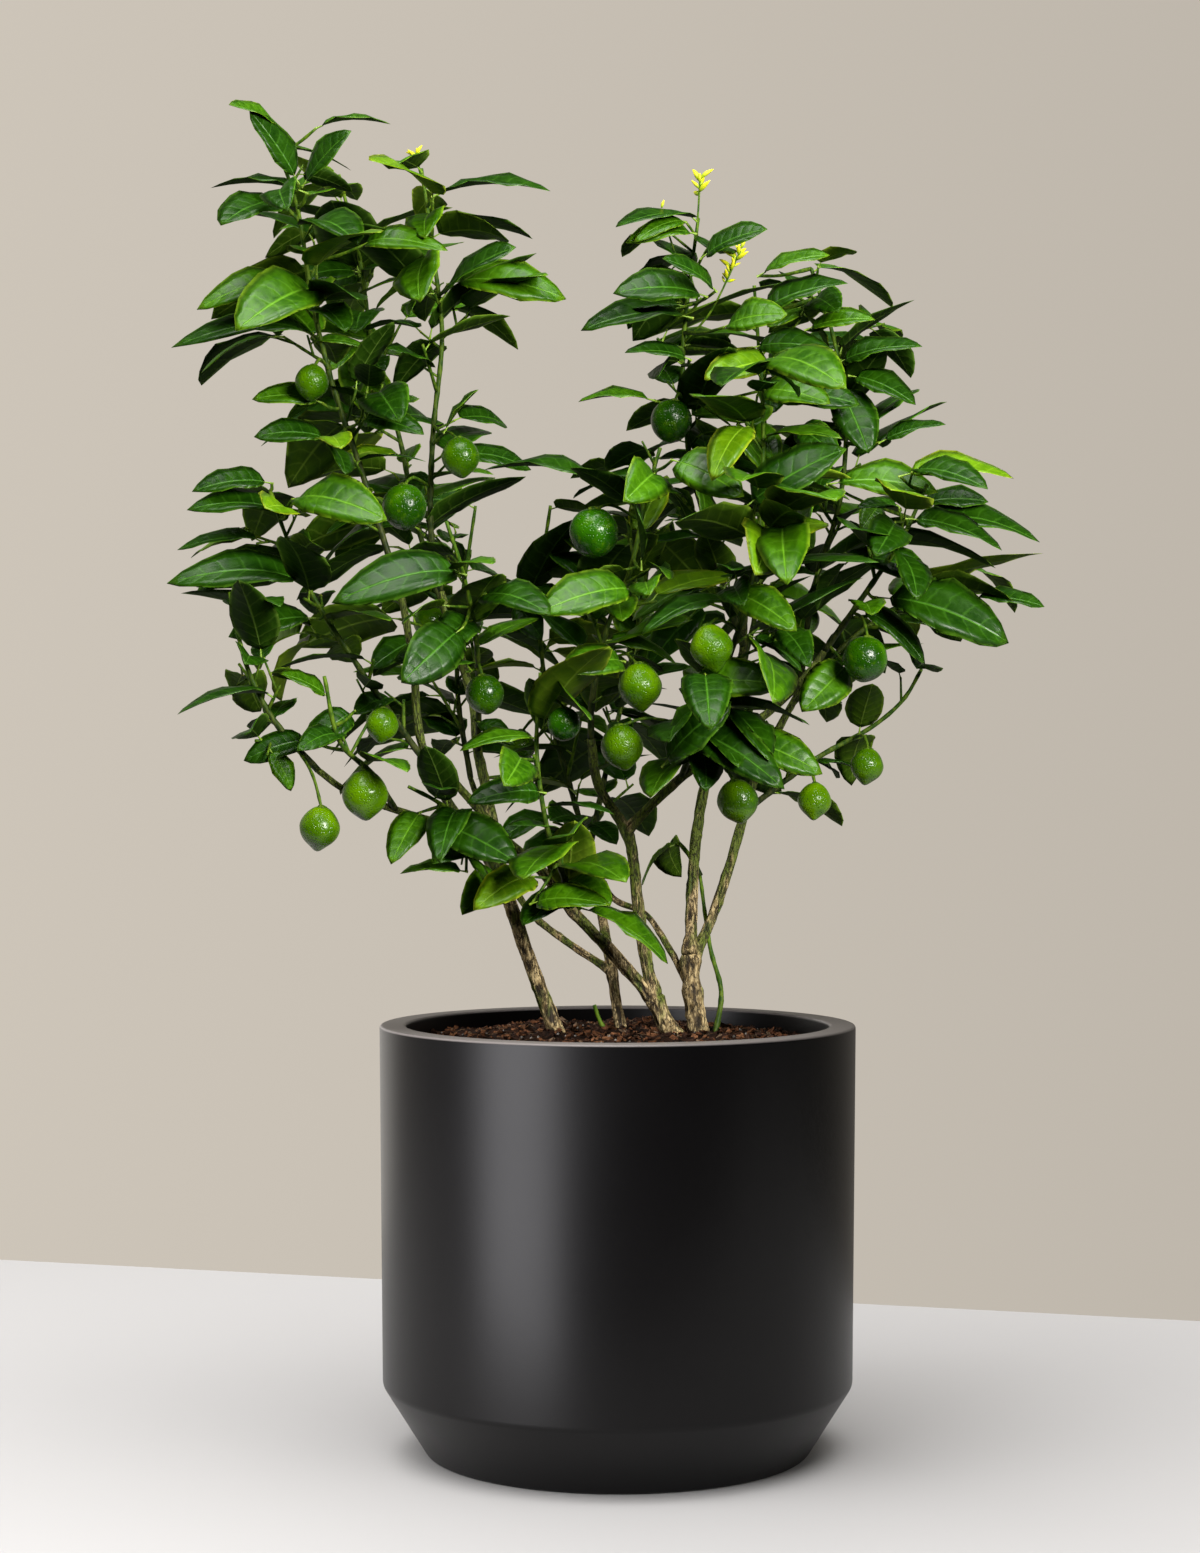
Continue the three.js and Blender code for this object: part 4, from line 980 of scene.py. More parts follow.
# A leaf's finish from its place in the tile: a pale midrib, side veins that slope to the tip with the
# blade raised between them, a pale rim that widens at the tip, and mottling that differs by tile.
def leafMaterial(kind):
    base, light, ribColour, rimColour, shine, gloss, quilt = leafColours[kind]
    material, shader, wire = newMaterial("leaf_" + kind, Specular_IOR_Level=shine)
    uv = wire.node("ShaderNodeUVMap", {"uv_map": "OFBake"})
    parts = wire.node("ShaderNodeSeparateXYZ", {}, {0: uv})
    inside = 1 - 2 * tiles["margin"]
    along = (wire.math("FRACT", parts.out("X") * tiles["columns"]) - tiles["margin"]) / inside
    off = abs((wire.math("FRACT", parts.out("Y") * tiles["rows"]) - 0.5) * (2 / inside))
    speckle = wire.noise(uv, 150.0, 3.0, 0.6)
    mottle = wire.noise(uv, 38.0, 3.0, 0.6)
    broad = wire.noise(uv, 9.0, 1.0)
    slope = wire.math("FRACT", along * 8.5 - off * 1.2 + (mottle - 0.5) * 0.5)
    ridge = abs(slope - 0.5)
    veins = ridge.between(0.38, 0.5) * (1 - off * 0.75)
    rib = 1 - off.between(0.0, 0.075)
    rim = off.between(0.82, 1.0) + along.between(0.86, 1.0) * 0.5
    tone = mottle.between(0.3, 0.7) * 0.5 + broad.between(0.3, 0.7) * 0.35 + (speckle - 0.5) * 0.7
    body = (veins * 0.24).colour(tone.colour(base, light), ribColour)
    body = (rib * 0.66).colour(body, ribColour)
    body = (rim * 0.66).colour(body, rimColour)
    height = (1 - ridge * ridge * 4) * quilt * 0.5 - rib * quilt * 0.8 + mottle * 0.5 + speckle * 0.25
    feed(shader, Base_Color=body, Normal=wire.bump(height, 0.6, 0.0008),
         Roughness=(mottle - 0.5) * 0.3 + (speckle - 0.5) * 0.2 + gloss)
    return material


def petioleMaterial():
    material, shader, wire = newMaterial("leaf_petiole", Roughness=0.5)
    uv = wire.node("ShaderNodeUVMap", {"uv_map": "OFBake"})
    along = wire.math("FRACT", wire.node("ShaderNodeSeparateXYZ", {}, {0: uv}).out("X") * tiles["columns"])
    colour = along.between(0.05, 0.4).colour((0.30, 0.27, 0.035), (0.16, 0.29, 0.014))
    mottle = wire.noise(uv, 60.0, 2.0)
    feed(shader, Base_Color=(mottle * 0.3).colour(colour, (0.3, 0.38, 0.04)))
    return material


leafMaterials = [leafMaterial(kind) for kind in leafColours] + [petioleMaterial()]

# Tints by spray: a share of each mass's sprays is dark, mid, fresh or young, more fresh near its tip.
tinting = {"sprays": 9, "sprayShare": 0.55, "ownShare": 0.45, "tipShare": 0.16, "limits": [0.53, 0.81, 0.985]}


def dealTints(mass, chance):
    places = np.array([leaf["base"] for leaf in mass["leaves"]])
    nearest = distances(places, mass["path"].points).argmin(1) / pathPieces
    sprayDraw = chance.random(12)[np.floor(nearest * tinting["sprays"]).astype(int)]
    draw = tinting["sprayShare"] * sprayDraw + tinting["ownShare"] * chance.random(len(places))
    draw = draw + tinting["tipShare"] * (nearest - 0.5)
    own = np.array([leaf["tint"] for leaf in mass["leaves"]])
    return np.where(own < 0, np.searchsorted(tinting["limits"], draw), own)


leafGroups = {
    "leaves_left": [mass for mass in crown.masses if mass["name"].startswith("left")],
    "leaves_middle": [mass for mass in crown.masses if mass["name"].startswith(("middle", "shoot"))],
    "leaves_right": [mass for mass in crown.masses if "right" in mass["name"]],
}
for number, (name, group) in enumerate(leafGroups.items()):
    chance = np.random.default_rng(40 + number)
    tints = np.concatenate([dealTints(mass, chance) for mass in group])
    leaves = [leaf for mass in group for leaf in mass["leaves"]]
    addLeaves(name, leaves, tints, chance, ["mass_" + mass["name"] for mass in group])
print("leaves made")

# Bark: rings close together, with ridges, cracks, scars and collars, pushed out from the limb's radius.
bark = {"sides": 30, "step": 1.2, "ridge": 0.26, "lump": 0.12, "scar": 0.16, "scarGap": 17, "collar": 0.4,
        "collarLength": 5.5, "knuckle": 0.22, "sunk": 3, "greenFrom": 285, "greenOver": 150, "fadeLength": 4,
        "fadeEnd": 0.35}


# The relief at ring distance d and angle a: ridges are folded noise stretched along the limb, lumps are
# broad noise, and scars are small mounds on a golden spiral; all are shares of the radius.
def barkRelief(distance, angle, radius, seed, roots):
    d, a = distance[:, None], angle[None, :]
    ring = np.stack(np.broadcast_arrays(np.cos(a) * 2.4, np.sin(a) * 2.4, d / 9.0), -1)
    fine = latticeNoise(ring * 1.7 + seed, seed)
    ridge = 1 - np.abs(2 * latticeNoise(ring + fine[..., None] * 0.6, seed + 1) - 1)
    lump = latticeNoise(ring * np.array([0.5, 0.5, 0.6]) + 7, seed + 2) - 0.5
    scars = 0
    for k in range(int(distance[-1] / bark["scarGap"])):
        place = (k + 0.6) * bark["scarGap"]
        turn = (a - math.radians(goldenTurn * k + 40 * seed) + math.pi) % (2 * math.pi) - math.pi
        scars = scars + np.exp(-((d - place) / 2.1) ** 2 - (turn / 0.55) ** 2)
    knuckles = sum(np.exp(-((d - place) / 5.0) ** 2) for place in roots)
    shape = bark["ridge"] * (ridge - 0.6) + bark["lump"] * lump * 2 + bark["scar"] * scars
    shape = shape + bark["knuckle"] * knuckles
    return shape * radius[:, None], ridge


# A limb's points at some shares of its length, without those that lie deep in the potting mix.
def limbPoints(limb, points, shares):
    keep = shares >= 0 if limb["on"] else points[:, 2] > ground - bark["sunk"]
    return points[keep], shares[keep], limbRadius(limb, shares[keep])


def limbSurface(limb, seed, sides):
    path = limb["path"]
    shares = np.linspace(0, 1, max(8, int(path.length / bark["step"])))
    points = path.spread(shares)
    padded = np.concatenate([points[:1]] * 2 + [points] + [points[-1:]] * 2)
    inner = np.stack([np.convolve(padded[:, k], np.ones(5) / 5, "valid") for k in range(3)], 1)
    points[2:-2] = inner[2:-2]
    points, shares, radius = limbPoints(limb, points, shares)
    distance = shares * path.length
    if limb["on"]:
        collar = np.exp(-((distance - limb["radius"][0]) / bark["collarLength"]) ** 2)
        radius = radius * (1 + bark["collar"] * collar)
    roots = [child["at"] * path.length for child in boughs if child["on"] == limb["name"]]
    relief, ridge = barkRelief(distance, ringAngles(sides), radius, seed, roots)
    fade = np.minimum(1, (distance[-1] - distance) / bark["fadeLength"] + bark["fadeEnd"])[:, None]
    height = ringValues(points[:, 2], sides)
    return {**tubeSurface(points, radius, sides, relief * fade),
            "relief": np.concatenate([ridge.ravel(), [0.5, 0.5]]),
            "age": np.clip(1 - (height - bark["greenFrom"]) / bark["greenOver"], 0, 1)}


# Bark's finish: tan ridges over dark cracks low down, turning green and smooth upwards.
def barkMaterial():
    material, shader, wire = newMaterial("bark", Specular_IOR_Level=0.3)
    place = wire.place(0.28)
    relief = wire.held("relief")
    grain = wire.noise(place, 760.0, 5.0, 0.66)
    cracks = abs(wire.noise(place, 330.0, 3.0, 0.6) - 0.5).between(0.0, 0.055)
    patches = wire.noise(place, 95.0, 3.0)
    woody = relief.between(0.30, 0.80).colour((0.020, 0.012, 0.005), (0.155, 0.105, 0.042))
    woody = (grain + relief * 0.35).between(0.68, 0.92).colour(woody, (0.46, 0.35, 0.18))
    green = (grain + relief * 0.3).between(0.4, 0.85).colour((0.014, 0.028, 0.003), (0.095, 0.125, 0.012))
    colour = (patches + wire.held("age") * -0.30).between(0.22, 0.40).colour(woody, green)
    colour = ((1 - cracks) * 0.85).colour(colour, (0.014, 0.010, 0.004))
    height = relief * 0.7 + grain * 0.5 + cracks * 0.6
    feed(shader, Base_Color=colour, Roughness=grain * 0.2 + 0.62, Normal=wire.bump(height, 0.8, 0.0011))
    return material


barkFinish = barkMaterial()
for name, group in {"bark_stems": stems[:4], "bark_boughs": boughs}.items():
    surfaces = [limbSurface(limbs[limb["name"]], 3 + k * 5 + len(name), bark["sides"])
                for k, limb in enumerate(group)]
    addPiece(name, joined(surfaces), [barkFinish], "bark", [limb["name"] for limb in group])
print("bark made")

# Green wood: leaders, side twigs, twiglets, lime stalks and the two young shoots, with swollen nodes.
twigForm = {"step": 5, "swell": 0.22, "swellGap": 15, "swellLength": 2.2}


def greenSurface(points, radius, sides, age):
    distance = np.concatenate([[0], np.cumsum(np.linalg.norm(np.diff(points, axis=0), axis=1))])
    offset = distance % twigForm["swellGap"] - twigForm["swellGap"] / 2
    swell = 1 + twigForm["swell"] * np.exp(-(offset / twigForm["swellLength"]) ** 2)
    return {**tubeSurface(points, radius * swell, sides), "age": ringValues(age, sides)}


def twigSurfaces():
    surfaces = []
    for mass in crown.masses:
        shares = np.linspace(0, 1, max(6, int(mass["path"].length / twigForm["step"])))
        radius = mix(*leaderRadius, shares)
        surfaces.append(greenSurface(mass["path"].spread(shares), radius, 7, 0.75 - 0.75 * shares))
        shares = np.linspace(0, 1, 8)
        radius = mix(*twigRadius, shares) * 0.92
        surfaces += [greenSurface(twig.spread(shares), radius, 6, 0.35 - 0.3 * shares)
                     for twig in mass["twigs"]]
        shares = np.linspace(0, 1, 4)
        radius = mix(0.9, 0.7, shares)
        surfaces += [greenSurface(twig.spread(shares), radius, 5, 0.15 - 0.1 * shares)
                     for twig in mass["twiglets"]]
    return surfaces


def greenMaterial():
    material, shader, wire = newMaterial("green_wood", Specular_IOR_Level=0.12)
    grain = wire.noise(wire.place(0.4), 420.0, 3.0)
    young = grain.between(0.35, 0.7).colour((0.022, 0.065, 0.003), (0.10, 0.17, 0.008))
    old = grain.between(0.35, 0.7).colour((0.008, 0.018, 0.003), (0.050, 0.058, 0.014))
    feed(shader, Base_Color=wire.held("age").between(0.1, 0.7).colour(young, old),
         Roughness=grain * 0.2 + 0.45, Normal=wire.bump(grain, 0.35, 0.0004))
    return material


def shootSurface(limb):
    shares = np.linspace(0, 1, 40)
    points, shares, radius = limbPoints(limb, limb["path"].spread(shares), shares)
    return greenSurface(points, radius, 10, 0.5 - 0.5 * shares)


greenFinish = greenMaterial()
addPiece("twigs", joined(twigSurfaces()), [greenFinish], "shoot")
addPiece("green_shoots", joined([shootSurface(limbs[limb["name"]]) for limb in stems[4:]]), [greenFinish],
         "shoot", ["stem_shoot", "stem_stub"])
print("twigs made")

# Limes: a turned profile with a dimple at the stalk and a nipple below, on a leaning axis.
limeForm = {"around": 32, "down": 22, "stretch": 1.03, "nipple": [0.03, 0.26], "pear": [0, 0.24],
            "lean": 0.22, "dimple": 0.07, "lump": 0.012, "stalkHeight": 0.92, "calyx": 0.24}


# One lime: at angle p from its top the radius is the sine of p, less above the middle on a pear shape,
# and the height its cosine with the dimple and the nipple added.
def limeSurface(centre, radius, ripe, chance):
    down = np.linspace(0.0, math.pi, limeForm["down"])[1:-1]
    around = ringAngles(limeForm["around"])
    nipple = mix(*limeForm["nipple"], ripe)
    reach = np.sin(down) * (1 - mix(*limeForm["pear"], ripe) * np.maximum(np.cos(down), 0))
    height = limeForm["stretch"] * np.cos(down)
    height = height - nipple * np.exp(-((math.pi - down) / 0.34) ** 2)
    height = height - limeForm["dimple"] * np.exp(-(down / 0.3) ** 2)
    ring = reach[:, None] * (1 + limeForm["lump"] * np.cos(5 * around[None] + 3 * down[:, None]))
    local = np.stack([ring * np.cos(around), ring * np.sin(around), height[:, None] + 0 * ring], -1)
    poles = np.array([[0, 0, limeForm["stretch"] - 0.08], [0, 0, -limeForm["stretch"] - nipple]])
    axis = np.array([*(limeForm["lean"] * (2 * chance.random(2) - 1)), 1])
    axis /= np.linalg.norm(axis)
    turn = np.stack([*squareTo(axis), axis])
    points = np.concatenate([local.reshape(-1, 3), poles]) @ turn * radius + centre
    made = {"points": points, **ringFaces(len(down), len(around), True), "ripe": np.full(len(points), ripe)}
    return made, centre + axis * radius * limeForm["stalkHeight"], axis


# The calyx: a small five-lobed button under the stalk, in rings of some reach and height.
calyxForm = {"sides": 20, "reach": [0.5, 1.0, 0.8, 0.3], "height": [-0.5, -0.1, 0.35, 0.6], "lobe": 0.28}


def calyxSurface(top, axis, radius):
    sides, rings = calyxForm["sides"], len(calyxForm["reach"])
    around = ringAngles(sides)
    out = np.array(calyxForm["reach"])[:, None] * (1 + calyxForm["lobe"] * np.cos(5 * around))[None]
    height = np.array(calyxForm["height"])[:, None] + 0 * out
    first, second = squareTo(axis)
    ring = (out * np.cos(around))[..., None] * first + (out * np.sin(around))[..., None] * second
    points = (ring + height[..., None] * axis).reshape(-1, 3) * radius + top
    step = np.arange(1, sides - 1)
    last = (rings - 1) * sides
    caps = np.concatenate([np.stack([0 * step, (step + 1) % sides, step], 1),
                           np.stack([0 * step, step, (step + 1) % sides], 1) + last])
    return {"points": points, "quads": gridQuads(rings, sides, True), "triangles": caps,
            "age": np.full(len(points), 0.25)}


def limeMaterial():
    material, shader, wire = newMaterial("lime_skin", Specular_IOR_Level=0.3)
    place = wire.place()
    fine = wire.noise(place, 260.0, 3.0)
    pores = wire.node("ShaderNodeTexVoronoi", {}, {"Vector": place, "Scale": 680.0}, "Distance")
    ripe = wire.held("ripe")
    deep = ripe.colour((0.004, 0.036, 0.0002), (0.040, 0.115, 0.0002))
    pale = ripe.colour((0.021, 0.108, 0.0002), (0.128, 0.262, 0.0003))
    colour = wire.noise(place, 38.0, 2.0).between(0.35, 0.65).colour(deep, pale)
    colour = (fine.between(0.5, 0.8) * 0.3).colour(colour, (0.14, 0.28, 0.002))
    colour = ((1 - pores.between(0.0, 0.45)) * 0.3).colour(colour, (0.008, 0.055, 0.001))
    height = pores.between(0.0, 0.5) * 0.7 + fine * 0.3
    feed(shader, Base_Color=colour, Roughness=fine * 0.1 + 0.15, Normal=wire.bump(height, 0.7, 0.0006))
    return material


# A lime's stalk: from the nearest sample of its leader, past an elbow over the lime, into its top.
stalkForm = {"firstSample": 3, "elbow": 9.0, "elbowShare": 0.35, "straight": 0.8, "pieces": 12,
             "radius": 0.95, "age": 0.2}


def stalkSurface(mass, top, axis):
    samples = mass["path"].points[stalkForm["firstSample"]:]
    root = samples[np.linalg.norm(samples - top, axis=1).argmin()]
    rise = min(stalkForm["elbow"], stalkForm["elbowShare"] * np.linalg.norm(root - top))
    elbow = top + axis * rise * stalkForm["straight"]
    stalk = Path([root, mix(root, elbow, 0.6) + np.array([0, 0, 1.2]), top - axis * 0.5], stalkForm["pieces"])
    even = np.ones(stalkForm["pieces"] + 1)
    return greenSurface(stalk.points, stalkForm["radius"] * even, 7, stalkForm["age"] * even)


limeChance = np.random.default_rng(77)
limeParts, stalkParts = [], []
for mass in crown.masses:
    for x, y, z, radius, ripe in mass["limes"]:
        surface, top, axis = limeSurface(np.array([x, y, z], float), radius, ripe, limeChance)
        limeParts.append(surface)
        stalkParts += [stalkSurface(mass, top, axis), calyxSurface(top, axis, radius * limeForm["calyx"])]
addPiece("limes", joined(limeParts), [limeMaterial()], "leaf")
addPiece("lime_stalks", joined(stalkParts), [greenFinish], "shoot")
print("limes made")

# Buds: tufts of young yellow leaflets on bare twigs, each from a share of a leader to a place, with the
# number of leaflets, how loosely they stand and how long they are.
budTufts = [
    ["right_left_top", 0.97, [53, -2, 815], 7, 3.5, [5, 9]],
    ["right_left_top", 0.86, [28, -8, 794], 8, 3.5, [3.5, 6]],
    ["right_left_top", 0.72, [78, -20, 765], 18, 6.5, [4, 8]],
    ["left_inner_top", 0.97, [-128, -22, 826], 9, 4, [4, 7]],
]
budForm = {"twigRadius": [0.85, 0.6], "pieces": 10, "sag": -0.12, "thick": 0.19, "sides": 6, "steps": 6,
           "rise": [25, 80], "back": 0.35, "loose": 0.3, "curl": 0.5}


# One leaflet: a closed spindle, its radius the sine of its length, that curls outwards.
def budSurface(root, way, length):
    shares = np.linspace(0, 1, budForm["steps"])
    out = np.array([way[0], way[1], 0.0])
    points = root + length * (way * shares[:, None] + out * budForm["curl"] * shares[:, None] ** 2)
    radius = length * budForm["thick"] * np.sin(math.pi * (0.12 + 0.84 * shares)) + 0.1
    return {**tubeSurface(points, radius, budForm["sides"]), "young": ringValues(shares, budForm["sides"])}


def makeBuds():
    chance = np.random.default_rng(61)
    paths = {mass["name"]: mass["path"] for mass in crown.masses}
    twigShares = np.linspace(0, 1, budForm["pieces"] + 1)
    leaflets, stalks = [], []
    for leader, share, end, count, spread, lengths in budTufts:
        start = paths[leader].at(share)[0]
        end = np.array(end, float)
        sag = np.array([0, 0, budForm["sag"] * np.linalg.norm(end - start)])
        stalk = Path([start, mix(start, end, 0.5) + sag, end], budForm["pieces"])
        stalks.append(greenSurface(stalk.points, mix(*budForm["twigRadius"], twigShares), 6, 0 * twigShares))
        for k in range(count):
            turn = math.radians(goldenTurn * k)
            rise = math.radians(chance.uniform(*budForm["rise"]))
            way = np.array([math.cos(turn) * math.cos(rise), math.sin(turn) * math.cos(rise), math.sin(rise)])
            root = stalk.at(1 - budForm["back"] * k / count)[0]
            root = root + way * spread * budForm["loose"] * chance.random()
            leaflets.append(budSurface(root, way, chance.uniform(*lengths)))
    material, shader, wire = newMaterial("young_buds", Roughness=0.42, Specular_IOR_Level=0.3)
    young = wire.held("young").between(0.0, 0.8)
    feed(shader, Base_Color=young.colour((0.20, 0.33, 0.008), (0.64, 0.60, 0.012)),
         Normal=wire.bump(wire.noise(wire.place(), 500.0, 2.0), 0.3, 0.0003))
    addPiece("buds", joined(leaflets), [material], "leaf")
    addPiece("bud_twigs", joined(stalks), [greenFinish], "shoot")


makeBuds()
print("buds made")

# Pot: a turned outline whose corners are arcs. The glaze is satin black; its rim top is painted pale warm
# grey as a painted reflection.
potForm = {"around": 180, "edge": 2.2, "arcSteps": 6}


# Rounds an outline's corners: each corner becomes an arc-like curve between points a set reach away.
def roundedOutline(corners, reach, steps):
    corners = np.asarray(corners, float)
    part = np.linspace(0, 1, steps)[:, None]
    outline = [corners[0]]
    for before, corner, after in zip(corners[:-2], corners[1:-1], corners[2:]):
        start = corner + (before - corner) / np.linalg.norm(before - corner) * reach
        end = corner + (after - corner) / np.linalg.norm(after - corner) * reach
        outline.extend((1 - part) ** 2 * start + 2 * part * (1 - part) * corner + part ** 2 * end)
    return np.array([*outline, corners[-1]])


# A body of revolution: the outline's inner points are rings, and its two ends are poles on the axis.
def turnedSurface(outline, around):
    angle = ringAngles(around)
    reach, height = outline[1:-1, None, 0], outline[1:-1, None, 1]
    rings = np.stack([reach * np.cos(angle), reach * np.sin(angle), height + 0 * angle], -1)
    poles = [[0, 0, outline[0, 1]], [0, 0, outline[-1, 1]]]
    return {"points": np.concatenate([rings.reshape(-1, 3), poles]), **ringFaces(len(reach), around)}


def potMaterial():
    material, shader, wire = newMaterial("pot_glaze", Specular_IOR_Level=0.24)
    place = wire.place()
    fine = wire.noise(place, 900.0, 3.0)
    broad = wire.noise(place, 9.0, 2.0)
    height = wire.node("ShaderNodeSeparateXYZ", {}, {0: place}).out("Z")
    # The top 1.6 mm, the rim's flat top and its rounded edges, is painted pale warm grey: a painted
    # reflection that stands in for the glaze's grazing sheen.
    rim = height.between((pot["height"] - 1.6) * metre, (pot["height"] - 0.4) * metre)
    glaze = broad.colour((0.0018, 0.0016, 0.0017), (0.0038, 0.0034, 0.0036))
    feed(shader, Base_Color=rim.colour(glaze, (0.26, 0.234, 0.222)),
         Roughness=broad * 0.05 + fine * 0.05 + 0.31 - rim * 0.03, Normal=wire.bump(fine, 0.12, 0.0003))
    return material


corners = [[0, 0], [pot["footRadius"], 0], [pot["waistRadius"], pot["bevelHeight"]],
           [pot["rimRadius"], pot["height"]], [pot["innerRadius"], pot["height"]],
           [pot["innerWaistRadius"], pot["innerWaistHeight"]], [pot["innerFloorRadius"], pot["floor"]],
           [0, pot["floor"]]]
outline = roundedOutline(corners, potForm["edge"], potForm["arcSteps"])
addPiece("pot_body", turnedSurface(outline, potForm["around"]), [potMaterial()], "pot", ["pot"])
print("pot made")

# Potting mix: a mound of fine crumbs with bark chips, fibres and white grains lying on it.
mound = {"rings": 70, "around": 200, "lump": 5.0, "crumb": 2.6, "fine": 1.3, "rise": 2.0, "top": 271,
         "gap": 0.6, "sink": 1.0, "depth": 12, "crowding": 0.8}
chips = {"count": 1500, "length": [2.5, 8.5], "width": [1.4, 4.2], "thick": [0.8, 2.0], "tilt": 0.75,
         "lift": 0.5, "above": 0.7, "small": 1.6, "uneven": [0.45, 1.1], "tints": [0.5, 0.8, 0.95]}
chipColours = {"dark": (0.08, 0.034, 0.018), "russet": (0.27, 0.105, 0.042), "orange": (0.44, 0.19, 0.08),
               "tan": (0.45, 0.29, 0.17)}
grains = {"count": 150, "radius": [0.5, 1.2], "lift": 0.3, "uneven": [0.7, 1.3]}
fibres = {"count": 130, "length": [7, 22], "radius": 0.28, "bend": 0.4, "lift": 0.6, "wallGap": 2}


# The mound's height at x, y: the filling's profile, plus lumps and crumbs of noise.
def moundHeight(x, y):
    share = (np.hypot(x, y) - soil["plateauRadius"]) / (pot["innerRadius"] - soil["plateauRadius"])
    share = np.clip(share, 0, 1)
    level = soil["level"] - mound["sink"] + mound["rise"] * (1 - share)
    level = level - (soil["level"] - soil["edgeLevel"]) * share
    flat = np.stack([x, y, 0 * x], -1)
    lump = latticeNoise(flat / 21 + 3.1, 5) - 0.5
    crumb = latticeNoise(flat / 6.5 + 9.7, 6) - 0.5
    fine = latticeNoise(flat / 2.8 + 1.3, 7) - 0.5
    level = level + mound["lump"] * lump + mound["crumb"] * crumb + mound["fine"] * fine
    return np.minimum(level, mound["top"])


def moundMaterial():
    material, shader, wire = newMaterial("potting_mix", Specular_IOR_Level=0.2)
    place = wire.place()
    crumbs = wire.noise(place, 330.0, 4.0, 0.6)
    patches = wire.noise(place, 60.0, 2.0)
    colour = crumbs.between(0.35, 0.7).colour((0.012, 0.0065, 0.0045), (0.085, 0.038, 0.02))
    colour = (patches.between(0.5, 0.75) * 0.5).colour(colour, (0.05, 0.02, 0.01))
    feed(shader, Base_Color=colour, Roughness=crumbs * 0.1 + 0.85, Normal=wire.bump(crumbs, 0.8, 0.0016))
    return material


def makeMound():
    radii = (pot["innerRadius"] - mound["gap"]) * np.linspace(0, 1, mound["rings"])[1:] ** mound["crowding"]
    angle = ringAngles(mound["around"])
    x, y = radii[:, None] * np.cos(angle), radii[:, None] * np.sin(angle)
    top = np.stack([x, y, moundHeight(x, y)], -1)
    floor = soil["edgeLevel"] - mound["depth"]
    rings = np.concatenate([top, top[-1:] * np.array([0.99, 0.99, 0]) + np.array([0, 0, floor])])
    centre = [[0, 0, moundHeight(np.zeros(1), np.zeros(1))[0]], [0, 0, floor]]
    surface = {"points": np.concatenate([rings.reshape(-1, 3), centre]),
               **ringFaces(len(rings), mound["around"], True)}
    addPiece("potting_mix", surface, [moundMaterial()], "soil", ["soil"])


# Random places on the mound, clear of the pot's wall.
def moundPlaces(count, chance, lift=0):
    radius = (pot["innerRadius"] - 5) * np.sqrt(chance.random(count))
    angle = 2 * math.pi * chance.random(count)
    x, y = radius * np.cos(angle), radius * np.sin(angle)
    return np.stack([x, y, moundHeight(x, y) + lift], 1)


# Turns for many small things at once: random axes that lie near the ground.
def randomFrames(count, chance, tilt):
    def tilts():
        return tilt * (2 * chance.random(count) - 1)

    turn = 2 * math.pi * chance.random(count)
    along = np.stack([np.cos(turn), np.sin(turn), tilts()], 1)
    along /= np.linalg.norm(along, axis=1, keepdims=True)
    across = np.cross(np.stack([tilts(), tilts(), np.ones(count)], 1), along)
    across /= np.linalg.norm(across, axis=1, keepdims=True)
    return along, across, np.cross(along, across)


def chipMaterial(name, colour):
    material, shader, wire = newMaterial(name, Specular_IOR_Level=0.25)
    grain = wire.noise(wire.place(), 700.0, 3.0)
    darker = tuple(0.35 * value for value in colour)
    feed(shader, Base_Color=grain.between(0.3, 0.7).colour(darker, colour), Roughness=grain * 0.2 + 0.7,
         Normal=wire.bump(grain, 0.5, 0.0005))
    return material


# Bark chips: splinters of eight uneven corners, lying as they fell.
def makeChips():
    chance = np.random.default_rng(91)
    count = chips["count"]
    place = moundPlaces(count, chance, chips["lift"])
    frames = randomFrames(count, chance, chips["tilt"])
    shrink = chance.random(count) ** chips["small"]
    corners = np.array([[i, j, k] for k in (-1, 1) for i, j in ((-1, -1), (1, -1), (1, 1), (-1, 1))], float)
    sizes = np.stack([mix(*chips[key], shrink) for key in ("length", "width", "thick")], 1)[:, None] / 2
    local = corners[None] * chance.uniform(*chips["uneven"], (count, 8, 3)) * sizes
    points = place[:, None] + sum(local[..., k:k + 1] * frames[k][:, None] for k in range(3))
    points[..., 2] = np.minimum(points[..., 2], mound["top"] + chips["above"])
    box = np.array([[3, 2, 1, 0], [4, 5, 6, 7], [0, 1, 5, 4], [1, 2, 6, 5], [2, 3, 7, 6], [3, 0, 4, 7]])
    tint = np.searchsorted(chips["tints"], chance.random(count))
    surface = {"points": points.reshape(-1, 3), "quads": repeated(box, count, 8), "slots": np.repeat(tint, 6)}
    finishes = [chipMaterial("chip_" + name, colour) for name, colour in chipColours.items()]
    addPiece("bark_chips", surface, finishes, "soil", smooth=False)


# White grains: uneven octahedra half sunk in the mix.
def makeGrains():
    chance = np.random.default_rng(93)
    count = grains["count"]
    place = moundPlaces(count, chance, grains["lift"])
    corners = np.array([[1, 0, 0], [0, 1, 0], [-1, 0, 0], [0, -1, 0], [0, 0, 1], [0, 0, -1]], float)
    size = chance.uniform(*grains["radius"], (count, 1, 1))
    points = place[:, None] + corners[None] * size * chance.uniform(*grains["uneven"], (count, 6, 1))
    faces = np.array([[0, 1, 4], [1, 2, 4], [2, 3, 4], [3, 0, 4], [1, 0, 5], [2, 1, 5], [3, 2, 5], [0, 3, 5]])
    surface = {"points": points.reshape(-1, 3), "triangles": repeated(faces, count, 6)}
    addPiece("white_grains", surface, [chipMaterial("white_grain", (0.72, 0.66, 0.58))], "soil")


